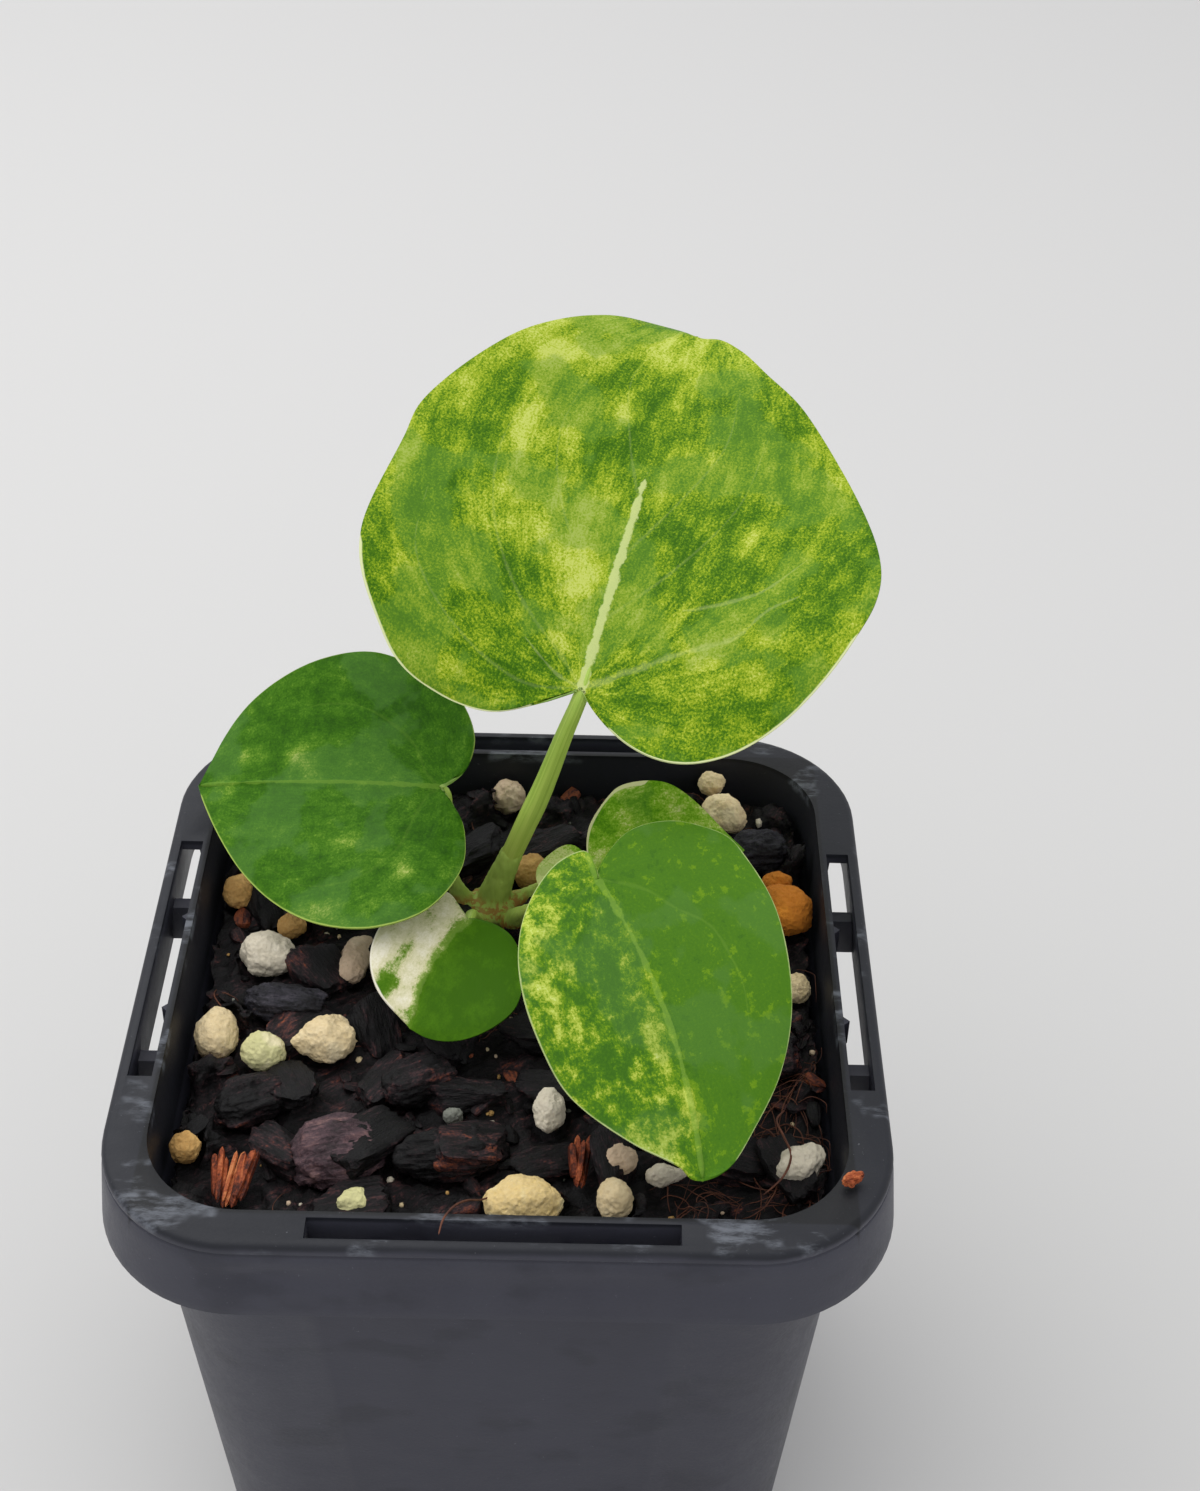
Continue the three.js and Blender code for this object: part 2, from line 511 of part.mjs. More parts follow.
// A thin waved blade. Its rows run from the midrib to the edge, and fan out from the notch into the lobes.
function bladeSolid(leaf) {
  const frame = leafFrame(leaf);
  const edges = [leaf.right, leaf.left].map((side) => bladeEdge(side, frame.length, leaf.rows));
  const faces = [BLADE_THICKNESS / 2, -BLADE_THICKNESS / 2];
  const points = [];
  const grids = faces.map((lift) => edges.map((edge, side) => edge.map((rim, row) => {
    const t = row / leaf.rows;
    const foot = frame.length * (Math.max(0, t - FAN_SHARE) / (1 - FAN_SHARE)) ** ROW_BEND;
    const start = new THREE.Vector3(foot, bowAt(leaf, frame, foot), 0);
    return Array.from({ length: leaf.columns + 1 }, (unused, column) => {
      const reach = column / leaf.columns;
      const flat = start.clone().lerp(rim, reach);
      const along = side === 0 ? t / 2 : 1 - t / 2;
      points.push(bladePoint(leaf, frame, flat.x, flat.y, along, reach, lift));
      return points.length - 1;
    });
  })));
  const turned = edges[0][Math.floor(leaf.rows / 2)].y > 0;
  const triangles = [];
  const push = (a, b, c, flip) => triangles.push(...(flip ? [a, c, b] : [a, b, c]));
  const quad = (a, b, c, d, flip) => {
    push(a, b, c, flip);
    push(a, c, d, flip);
  };
  for (let side = 0; side < 2; side += 1) {
    for (let row = 0; row < leaf.rows; row += 1) {
      for (let face = 0; face < 2; face += 1) {
        const [near, far] = [grids[face][side][row], grids[face][side][row + 1]];
        for (let column = 0; column < leaf.columns; column += 1) {
          const flip = (face === 1) !== (side === 1) !== turned;
          quad(near[column], far[column], far[column + 1], near[column + 1], flip);
        }
      }
      const rims = [0, 1].map((face) => [row, row + 1].map((r) => grids[face][side][r][leaf.columns]));
      quad(rims[0][0], rims[0][1], rims[1][1], rims[1][0], (side === 1) !== turned);
    }
  }
  return solidOf(withoutSlivers(indexed(points, triangles)));
}

// Rows that share a foot leave triangles with two corners in one place, which are dropped
function withoutSlivers(geometry) {
  const merged = mergeVertices(geometry, 1e-4);
  const kept = [];
  for (let i = 0; i < merged.index.count; i += 3) {
    const [a, b, c] = [0, 1, 2].map((k) => merged.index.getX(i + k));
    if (a !== b && b !== c && c !== a) kept.push(a, b, c);
  }
  merged.setIndex(kept);
  return merged;
}

// A stalk whose thickness changes along a curve, with closed ends
function stalkSolid(path, radii, steps, grow = 0) {
  const curve = new THREE.CatmullRomCurve3(path.map((p) => new THREE.Vector3(...p)), false, 'centripetal');
  const frames = curve.computeFrenetFrames(steps, false);
  const loops = [];
  for (let i = 0; i <= steps; i += 1) {
    const middle = curve.getPointAt(i / steps);
    const span = (i / steps) * (radii.length - 1);
    const low = Math.min(Math.floor(span), radii.length - 2);
    const radius = THREE.MathUtils.lerp(radii[low], radii[low + 1], span - low) + grow;
    const loop = [];
    for (let k = 0; k < TUBE_SIDES; k += 1) {
      const angle = (k / TUBE_SIDES) * 2 * Math.PI;
      loop.push(middle.clone()
        .addScaledVector(frames.normals[i], radius * Math.cos(angle))
        .addScaledVector(frames.binormals[i], radius * Math.sin(angle)));
    }
    loops.push(loop);
  }
  return solidOf(loft(loops));
}

// The stalk runs on under the blade as its midrib, sunk a little into it
function leafStalk(leaf, grow = 0) {
  const frame = leafFrame(leaf);
  const rib = [0.12, 0.35, 0.62].map((t) => {
    const u = t * frame.length;
    return bladePoint(leaf, frame, u, bowAt(leaf, frame, u), 0, 0, -MIDRIB_SINK).toArray();
  });
  const joint = bladePoint(leaf, frame, 0, 0, 0, 0, -MIDRIB_SINK).toArray();
  const steps = 10 + leaf.stalk.length;
  return stalkSolid([...leaf.stalk, joint, ...rib], leaf.radii, steps, grow);
}

function leafSolid(leaf) {
  return bladeSolid(leaf).add(leafStalk(leaf));
}

// The crown: a short stub of stem with a swollen top, cut so that each stalk stands in its own socket
function crownForm(grow) {
  const [x, y, z] = CROWN;
  const levels = [
    [-CROWN_DEPTH, 0.62], [-CROWN_DEPTH + 1.5, 0.74], [-2.4, 0.86], [-0.9, 1],
    [0.1, 0.96], [0.8, 0.7], [1.1, 0.4],
  ];
  const sides = 14;
  const loops = levels.map(([rise, share]) => {
    const loop = [];
    for (let i = 0; i < sides; i += 1) {
      const angle = (i / sides) * 2 * Math.PI;
      const lobes = 1 + 0.07 * Math.cos(3 * angle + 0.5);
      const radius = CROWN_RADIUS * share * lobes + grow;
      loop.push(new THREE.Vector3(x + radius * Math.cos(angle), y + radius * Math.sin(angle), z + rise));
    }
    return loop;
  });
  if (grow > 0) loops[0].forEach((p) => p.setZ(p.z - grow));
  return solidOf(loft(loops));
}

function crownSolid() {
  return LEAVES.reduce((body, leaf) => body.subtract(leafStalk(leaf, CLEARANCE)), crownForm(0));
}

function namedMesh(name, geometry, material) {
  const mesh = new THREE.Mesh(geometry, material);
  mesh.name = name;
  return mesh;
}

const plant = new THREE.Group();
const rim = new THREE.Group();
rim.position.z = POT_HEIGHT;
plant.add(namedMesh('pot', geometryOf(potShell()), finish.pot), rim);

const mix = mixBody([...STONES, ...CHUNKS, ...SLIVERS]);
rim.add(namedMesh('substrate', largestBody(mix), finish.mix));
for (const stone of STONES) {
  rim.add(namedMesh(stone.name, lump(stone), stone.name.startsWith('clay') ? finish.clay : finish.pumice));
}
for (const chunk of CHUNKS) rim.add(namedMesh(chunk.name, lump(chunk), finish.bark));
for (const piece of [...SLIVERS, CRUMB]) rim.add(namedMesh(piece.name, lump(piece), finish.redBark));

rim.add(namedMesh('crown', geometryOf(crownSolid()), finish.stem));
for (const leaf of LEAVES) rim.add(namedMesh(leaf.name, geometryOf(leafSolid(leaf)), finish.leaf));

export default plant;
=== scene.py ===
"""A young marbled anthurium in its square nursery pot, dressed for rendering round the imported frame."""

import itertools
import logging
import math
import random
from collections.abc import Callable
from dataclasses import dataclass, field
from enum import Enum

import bpy
import numpy as np
from mathutils import Matrix, Vector, noise


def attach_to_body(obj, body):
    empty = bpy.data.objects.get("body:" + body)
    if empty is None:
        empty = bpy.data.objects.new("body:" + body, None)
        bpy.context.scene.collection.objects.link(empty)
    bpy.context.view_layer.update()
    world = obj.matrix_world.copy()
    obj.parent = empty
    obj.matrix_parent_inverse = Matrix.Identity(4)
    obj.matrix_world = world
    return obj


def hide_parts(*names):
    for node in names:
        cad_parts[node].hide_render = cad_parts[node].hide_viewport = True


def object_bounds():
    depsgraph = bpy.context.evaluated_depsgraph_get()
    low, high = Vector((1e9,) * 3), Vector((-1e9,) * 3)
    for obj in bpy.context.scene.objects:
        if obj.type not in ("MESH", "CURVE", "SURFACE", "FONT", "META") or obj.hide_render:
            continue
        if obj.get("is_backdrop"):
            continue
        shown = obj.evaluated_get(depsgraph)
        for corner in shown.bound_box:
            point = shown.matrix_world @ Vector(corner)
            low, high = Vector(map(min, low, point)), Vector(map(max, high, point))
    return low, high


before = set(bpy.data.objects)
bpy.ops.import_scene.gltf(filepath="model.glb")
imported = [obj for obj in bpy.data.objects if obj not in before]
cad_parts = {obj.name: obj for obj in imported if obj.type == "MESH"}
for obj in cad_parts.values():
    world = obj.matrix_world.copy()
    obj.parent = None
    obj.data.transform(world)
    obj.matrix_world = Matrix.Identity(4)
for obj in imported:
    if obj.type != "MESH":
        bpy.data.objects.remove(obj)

log = logging.getLogger("anthurium")

MM = 0.001
BODY = "root"

RIM_WIDTH = 70.0
POT_HEIGHT = 70.0
RIM_FLANGE = 4.0
MOUTH_HALF = RIM_WIDTH / 2 - RIM_FLANGE
MIX_RISE = 2.2
RISE_START = 6.0
PLANE_SPAN = 100.0
LEHMER_FACTOR = 16807
LEHMER_MODULUS = 2147483647

Points = np.ndarray
Triple = tuple[float, float, float]
Piece = bpy.types.Object
Material = bpy.types.Material
Socket = bpy.types.NodeSocket
Value = Socket | float


class Slot(Enum):
    """Material slots of the pieces."""

    POT = "pot"
    BARK_MIX = "bark_mix"
    BARK = "bark"
    RED_BARK = "red_bark"
    PUMICE = "pumice"
    CLAY = "clay"
    STEM = "stem"
    LEAF = "leaf"


class Half(Enum):
    """The two edges of a blade, each from the notch to the tip."""

    RIGHT = "right"
    LEFT = "left"


def linear(code: str) -> tuple[float, float, float, float]:
    """Turns an sRGB hex colour into a linear one.

    Args:
        code: Six hex digits.

    Returns:
        Red, green, blue and an alpha of one.
    """
    parts = [int(code[i:i + 2], 16) / 255 for i in (0, 2, 4)]
    red, green, blue = (c / 12.92 if c <= 0.04045 else ((c + 0.055) / 1.055) ** 2.4 for c in parts)
    return red, green, blue, 1.0


def add_node(tree: bpy.types.NodeTree, kind: str, settings: dict | None = None,
             inputs: dict | None = None) -> bpy.types.Node:
    """Adds one node to a material.

    Args:
        tree: The material's node tree.
        kind: Blender's name for the kind of node.
        settings: The node's own properties, with "stops" for the stops of a colour ramp.
        inputs: What goes into each socket, by its name or number: a value or another node's output.

    Returns:
        The node.
    """
    node = tree.nodes.new(kind)
    for name, value in (settings or {}).items():
        if name == "stops":
            fill_ramp(node.color_ramp, value)
        else:
            setattr(node, name, value)
    for name, value in (inputs or {}).items():
        if isinstance(value, bpy.types.NodeSocket):
            tree.links.new(value, node.inputs[name])
        else:
            node.inputs[name].default_value = value
    return node


def fill_ramp(ramp: bpy.types.ColorRamp, stops: list[tuple[float, str]]) -> None:
    """Gives a colour ramp its stops.

    Args:
        ramp: The ramp, which has two stops of its own.
        stops: Place and hex colour of each stop, in rising order.
    """
    while len(ramp.elements) < len(stops):
        ramp.elements.new(0.5)
    for element, (place, code) in zip(ramp.elements, stops):
        element.position = place
        element.color = linear(code)


class Paint:
    """A material in the making. Each method adds to it and gives the socket that the addition ends in."""

    def __init__(self, name: str) -> None:
        """Starts an empty material."""
        self.result = bpy.data.materials.new(name)
        self.result.use_nodes = True
        self.result.node_tree.nodes.clear()

    def node(self, kind: str, settings: dict | None = None, inputs: dict | None = None) -> bpy.types.Node:
        """Adds one node, with its settings and inputs."""
        return add_node(self.result.node_tree, kind, settings, inputs)

    def close(self, colour: Socket | tuple, roughness: Value, ior: float, specular: float,
              relief: Socket | None = None, depth: float = 0.0) -> Material:
        """Ends the material with its surface shader.

        Args:
            colour: Its colour.
            roughness: How dull it is, from 0 to 1.
            ior: Its index of refraction.
            specular: How strongly it mirrors, from 0 to 1.
            relief: A height pattern for its finest relief.
            depth: How deep that relief is, in millimetres.

        Returns:
            The material.
        """
        inputs = {"Base Color": colour, "Roughness": roughness, "IOR": ior, "Specular IOR Level": specular}
        if relief is not None:
            bump = {"Height": relief, "Distance": depth * MM, "Strength": 1.0}
            inputs["Normal"] = self.node("ShaderNodeBump", inputs=bump).outputs[0]
        shader = self.node("ShaderNodeBsdfPrincipled", inputs=inputs)
        self.node("ShaderNodeOutputMaterial", inputs={"Surface": shader.outputs[0]})
        return self.result

    def reckon(self, operation: str, *values: Value) -> Socket:
        """Works out one sum, by Blender's name for the operation."""
        return self.node("ShaderNodeMath", {"operation": operation}, dict(enumerate(values))).outputs[0]

    def product(self, first: Value, second: Value) -> Socket:
        """Multiplies two values."""
        return self.reckon("MULTIPLY", first, second)

    def weigh(self, base: Value, parts: list[tuple[Socket, float]]) -> Socket:
        """Adds patterns that lie between 0 and 1 to a base value, each centred on zero.

        Args:
            base: The value to start from.
            parts: Each pattern with its weight.

        Returns:
            The sum's socket.
        """
        for pattern, weight in parts:
            base = self.reckon("MULTIPLY_ADD", self.reckon("SUBTRACT", pattern, 0.5), weight, base)
        return base

    def blend(self, share: Value, low: Socket | str, high: Socket | str, strength: float = 1.0) -> Socket:
        """Mixes two colours.

        Args:
            share: How much of the second colour shows, from 0 to 1.
            low: The first colour, a socket or hex digits.
            high: The second colour, a socket or hex digits.
            strength: What the share is multiplied by.

        Returns:
            The mixed colour's socket.
        """
        share = self.product(share, strength) if strength != 1.0 else share
        ends = [linear(c) if isinstance(c, str) else c for c in (low, high)]
        mix = self.node("ShaderNodeMix", {"data_type": "RGBA"}, {0: share, 6: ends[0], 7: ends[1]})
        return mix.outputs[2]

    def ramp(self, tone: Socket, stops: tuple[tuple[float, str], ...]) -> Socket:
        """Looks a tone up on a ramp of colours."""
        return self.node("ShaderNodeValToRGB", {"stops": stops}, {0: tone}).outputs[0]

    def axes(self, place: Socket) -> list[Socket]:
        """Gives the three parts of coordinates."""
        return list(self.node("ShaderNodeSeparateXYZ", inputs={0: place}).outputs)

    def ramp_down(self, value: Socket, full: float, none: float) -> Socket:
        """Gives 1 up to one value and 0 beyond another, with a soft step between."""
        return self.node("ShaderNodeMapRange", {"interpolation_type": "SMOOTHSTEP"}, {
            "Value": value, "From Min": full, "From Max": none, "To Min": 1.0, "To Max": 0.0}).outputs[0]

    def attribute(self, name: str, output: str = "Fac") -> Socket:
        """Reads a number, or the output "Vector", that each vertex of the piece carries."""
        return self.node("ShaderNodeAttribute", {"attribute_name": name}).outputs[output]

    def grain(self, place: Socket, size: float, detail: float = 2.0, rough: float = 0.5,
              stretch: Triple | None = None) -> Socket:
        """Draws a cloudy pattern.

        Args:
            place: Coordinates, in the same unit as the size.
            size: The width of one light or dark spot.
            detail: How many finer layers it has.
            rough: How strong the finer layers are.
            stretch: A factor for the coordinates along each axis.

        Returns:
            The pattern's socket, from 0 to 1.
        """
        if stretch:
            place = self.stretched(place, stretch)
        return self.node("ShaderNodeTexNoise", inputs={
            "Vector": place, "Scale": 1 / size, "Detail": detail, "Roughness": rough}).outputs["Fac"]

    def scaled(self, place: Socket, factor: float) -> Socket:
        """Scales coordinates by one factor."""
        return self.stretched(place, (factor, factor, factor))

    def object_mm(self) -> Socket:
        """Gives the piece's own coordinates in millimetres."""
        return self.scaled(self.node("ShaderNodeTexCoord").outputs["Object"], 1 / MM)

    def plane_mm(self) -> Socket:
        """Gives the coordinates in a blade's plane in millimetres."""
        return self.scaled(self.node("ShaderNodeUVMap", {"uv_map": "plane"}).outputs[0], PLANE_SPAN)

    def stretched(self, place: Socket, scale: Triple) -> Socket:
        """Stretches coordinates by a factor along each axis."""
        return self.node("ShaderNodeVectorMath", {"operation": "MULTIPLY"}, {0: place, 1: scale}).outputs[0]


def clear_selection() -> None:
    """Deselects everything, so that an operator acts on one piece only."""
    if bpy.context.object is not None and bpy.context.object.mode != "OBJECT":
        bpy.ops.object.mode_set(mode="OBJECT")
    bpy.ops.object.select_all(action="DESELECT")


def take(piece: Piece) -> None:
    """Selects one piece alone and makes it the active one."""
    clear_selection()
    piece.select_set(True)
    bpy.context.view_layer.objects.active = piece


def edit_all(piece: Piece, operator: Callable, **settings: object) -> None:
    """Runs one of Blender's edit operators on a piece's whole mesh."""
    take(piece)
    bpy.ops.object.mode_set(mode="EDIT")
    bpy.ops.mesh.select_all(action="SELECT")
    operator(**settings)
    bpy.ops.object.mode_set(mode="OBJECT")


def merge_doubles(piece: Piece, distance: float = 1e-4) -> None:
    """Joins vertices that lie nearer to each other than a distance in millimetres."""
    edit_all(piece, bpy.ops.mesh.remove_doubles, threshold=distance * MM)


def face_outwards(piece: Piece) -> None:
    """Turns all faces of a closed piece outwards."""
    edit_all(piece, bpy.ops.mesh.normals_make_consistent, inside=False)


def add_piece(operator: Callable, name: str, **settings: object) -> Piece:
    """Adds an object with one of Blender's operators and names it."""
    clear_selection()
    operator(**settings)
    bpy.context.object.name = name
    return bpy.context.object


def twin(piece: Piece) -> Piece:
    """Copies a piece, with a mesh of its own."""
    copy = piece.copy()
    copy.data = piece.data.copy()
    bpy.context.scene.collection.objects.link(copy)
    return copy


def apply_modifier(piece: Piece, kind: str, **settings: object) -> None:
    """Adds a modifier with its settings and applies it."""
    take(piece)
    bpy.ops.object.modifier_add(type=kind)
    modifier = piece.modifiers[-1]
    for name, value in settings.items():
        setattr(modifier, name, value)
    bpy.ops.object.modifier_apply(modifier=modifier.name)


def smooth(piece: Piece, angle: float = 180.0) -> None:
    """Shades a piece smoothly, apart from edges sharper than an angle in degrees."""
    take(piece)
    bpy.ops.object.shade_smooth_by_angle(angle=math.radians(angle))


def vertices_of(piece: Piece) -> Points:
    """Reads a mesh's vertices, in millimetres."""
    flat = np.empty(len(piece.data.vertices) * 3)
    piece.data.vertices.foreach_get("co", flat)
    return flat.reshape(-1, 3) / MM


def set_vertices(piece: Piece, points: Points) -> None:
    """Moves a mesh's vertices to places given in millimetres."""
    piece.data.vertices.foreach_set("co", (points * MM).ravel())
    piece.data.update()


def set_values(piece: Piece, name: str, values: Points) -> None:
    """Gives each vertex of a mesh a number or a vector."""
    values = np.asarray(values, np.float32)
    kind, key = ("FLOAT", "value") if values.ndim == 1 else ("FLOAT_VECTOR", "vector")
    piece.data.attributes.new(name, kind, "POINT").data.foreach_set(key, values.ravel())


def push_out(piece: Piece, rise: Callable[[Points], float]) -> None:
    """Moves each vertex along its normal by what a function gives for its place, in millimetres."""
    normals = np.array([tuple(vertex.normal) for vertex in piece.data.vertices])
    points = vertices_of(piece)
    set_vertices(piece, points + normals * np.array([rise(point) for point in points])[:, None])


def turned(points: Points, turn: float) -> Points:
    """Turns points about the vertical, by an angle in radians."""
    c, s = math.cos(turn), math.sin(turn)
    x, y, z = np.asarray(points).T
    return np.stack([x * c - y * s, x * s + y * c, z], axis=-1)


def join(pieces: list[Piece], name: str) -> Piece:
    """Joins several meshes into one piece.

    Args:
        pieces: The meshes, of which the first takes in the others.
        name: The joined piece's name.

    Returns:
        The joined piece.
    """
    take(pieces[0])
    for piece in pieces[1:]:
        piece.select_set(True)
    bpy.ops.object.join()
    pieces[0].name = name
    return pieces[0]


def dress(piece: Piece, materials: list[Material], slot: Slot, nodes: list[str]) -> Piece:
    """Gives a finished piece its materials and its place in the frame.

    Args:
        piece: The finished mesh, at the origin.
        materials: The materials in the order of the faces' numbers, or none if the mesh has them.
        slot: The slot that the finish belongs to; not used.
        nodes: The frame's nodes that the piece stands for.

    Returns:
        The piece.
    """
    for material in materials:
        piece.data.materials.append(material)
    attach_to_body(piece, BODY)
    if nodes:
        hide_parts(*nodes)
    log.info("%s: %d faces", piece.name, len(piece.data.polygons))
    return piece


def smooth_path(points: Points, steps: int = 16) -> Points:
    """Runs a centripetal spline through points.

    Args:
        points: The points, two or three numbers each.
        steps: How many steps each stretch gets.

    Returns:
        The points along the spline, ends included.
    """
    knots = np.vstack([2 * points[0] - points[1], points, 2 * points[-1] - points[-2]])
    path = []
    for a, b, c, d in zip(knots, knots[1:], knots[2:], knots[3:]):
        gaps = [max(np.linalg.norm(q - p) ** 0.5, 1e-4) for p, q in ((a, b), (b, c), (c, d))]
        start = ((b - a) / gaps[0] - (c - a) / (gaps[0] + gaps[1]) + (c - b) / gaps[1]) * gaps[1]
        end = ((c - b) / gaps[1] - (d - b) / (gaps[1] + gaps[2]) + (d - c) / gaps[2]) * gaps[1]
        t = (np.arange(steps) / steps)[:, None]
        path.append((2 * t ** 3 - 3 * t ** 2 + 1) * b + (t ** 3 - 2 * t ** 2 + t) * start
                    + (3 * t ** 2 - 2 * t ** 3) * c + (t ** 3 - t ** 2) * end)
    return np.vstack(path + [points[-1:]])


def along_path(path: Points, shares: Points) -> Points:
    """Finds points at given shares of a path's length.

    Args:
        path: The path's points.
        shares: Numbers from 0 at the path's start to 1 at its end.

    Returns:
        One point for each share.
    """
    lengths = np.concatenate([[0.0], np.cumsum(np.linalg.norm(np.diff(path, axis=0), axis=1))])
    places = np.asarray(shares) * lengths[-1]
    return np.stack([np.interp(places, lengths, path[:, k]) for k in range(path.shape[1])], axis=-1)


def grid(name: str, columns: int, rows: int) -> tuple[Piece, Points, Points]:
    """Adds a flat grid to be shaped, with its UV map kept as the map "grow".

    Args:
        name: The piece's name.
        columns: How many cells it has along its first side.
        rows: How many cells it has along its second side.

    Returns:
        The piece, and for each vertex its share along the first and the second side.
    """
    piece = add_piece(bpy.ops.mesh.primitive_grid_add, name, x_subdivisions=columns, y_subdivisions=rows,
                      size=1.0, calc_uvs=True)
    piece.data.name = name
    piece.data.uv_layers[0].name = "grow"
    flat = vertices_of(piece) * MM + 0.5
    return piece, np.clip(flat[:, 0], 0, 1), np.clip(flat[:, 1], 0, 1)


def tube(name: str, path: Points, radii: Points, sides: int, flutes: int = 0, depth: float = 0.0) -> Piece:
    """Makes a closed round rod along a path, thicker or thinner along its length.

    Args:
        name: The piece's name.
        path: The points that it follows, in millimetres.
        radii: Its radius at each point.
        sides: How many faces go round it.
        flutes: How many shallow grooves run along it.
        depth: How deep the grooves are, as a share of the radius.

    Returns:
        The rod, with the map "grow" running round it and along it.
    """
    steps = len(path) - 1
    piece, around, share = grid(name, sides, steps)
    tangents = np.gradient(path, axis=0)
    tangents /= np.linalg.norm(tangents, axis=1)[:, None]
    normals = [np.cross(tangents[0], (0.31, 0.11, 0.94))]
    for tangent in tangents[1:]:
        normals.append(normals[-1] - tangent * np.dot(normals[-1], tangent))
    normals = np.array(normals)
    normals /= np.linalg.norm(normals, axis=1)[:, None]
    binormals = np.cross(tangents, normals)
    row = np.rint(share * steps).astype(int)
    angle = around * 2 * math.pi
    grooved = 1 - depth * np.abs(np.sin(angle * flutes / 2)) if flutes else 1.0
    reach = radii[row] * grooved * np.where((row == 0) | (row == steps), 0.0, 1.0)
    points = (path[row] + normals[row] * (reach * np.cos(angle))[:, None]
              + binormals[row] * (reach * np.sin(angle))[:, None])
    set_vertices(piece, points)
    merge_doubles(piece)
    face_outwards(piece)
    return piece


@dataclass(frozen=True)
class Patch:
    """A paler or darker area of a blade: its middle and half sizes in millimetres, and its turn in degrees.

    along and across are measured from the notch in the blade's plane, and tone is how much paler it is.
    """

    along: float
    across: float
    length: float
    width: float
    turn: float
    tone: float

    def strength(self, along: Points, across: Points) -> Points:
        """Gives the area's tone at points of the blade, fading from its middle."""
        turn = math.radians(self.turn)
        far = (along - self.along) * math.cos(turn) + (across - self.across) * math.sin(turn)
        wide = (across - self.across) * math.cos(turn) - (along - self.along) * math.sin(turn)
        return 0.85 * self.tone * np.exp(-((far / self.length) ** 2 + (wide / self.width) ** 2) / 1.6)


@dataclass(frozen=True)
class Vein:
    """A main vein: its course from the notch in the blade's plane, and its half width, in millimetres."""

    course: tuple[tuple[float, float], ...]
    half_width: float

    def offset(self, along: Points, across: Points) -> Points:
        """Measures how far points of the blade lie from the vein.

        Args:
            along: Their places along the midrib.
            across: Their places across it.

        Returns:
            The signed distance in half widths of the vein, which grows thinner towards its end.
        """
        path = smooth_path(np.array(self.course), 12)
        best = np.full(along.shape, 1e9)
        signed = np.zeros(along.shape)
        for i, (a, b) in enumerate(zip(path, path[1:])):
            step = b - a
            share = ((along - a[0]) * step[0] + (across - a[1]) * step[1]) / step.dot(step)
            share = np.clip(share, 0, 1)
            gap_along = along - a[0] - share * step[0]
            gap_across = across - a[1] - share * step[1]
            gap = np.hypot(gap_along, gap_across)
            side = np.sign(step[0] * gap_across - step[1] * gap_along)
            taper = 1 - 0.8 * (i + share) / (len(path) - 1)
            nearer = gap < best
            signed = np.where(nearer, side * gap / (self.half_width * taper), signed)
            best = np.where(nearer, gap, best)
        return signed


@dataclass(frozen=True)
class Hem:
    """A stretch of a blade's edge with a cream border: shares of the way round from the notch, and width."""

    start: float
    end: float
    width: float


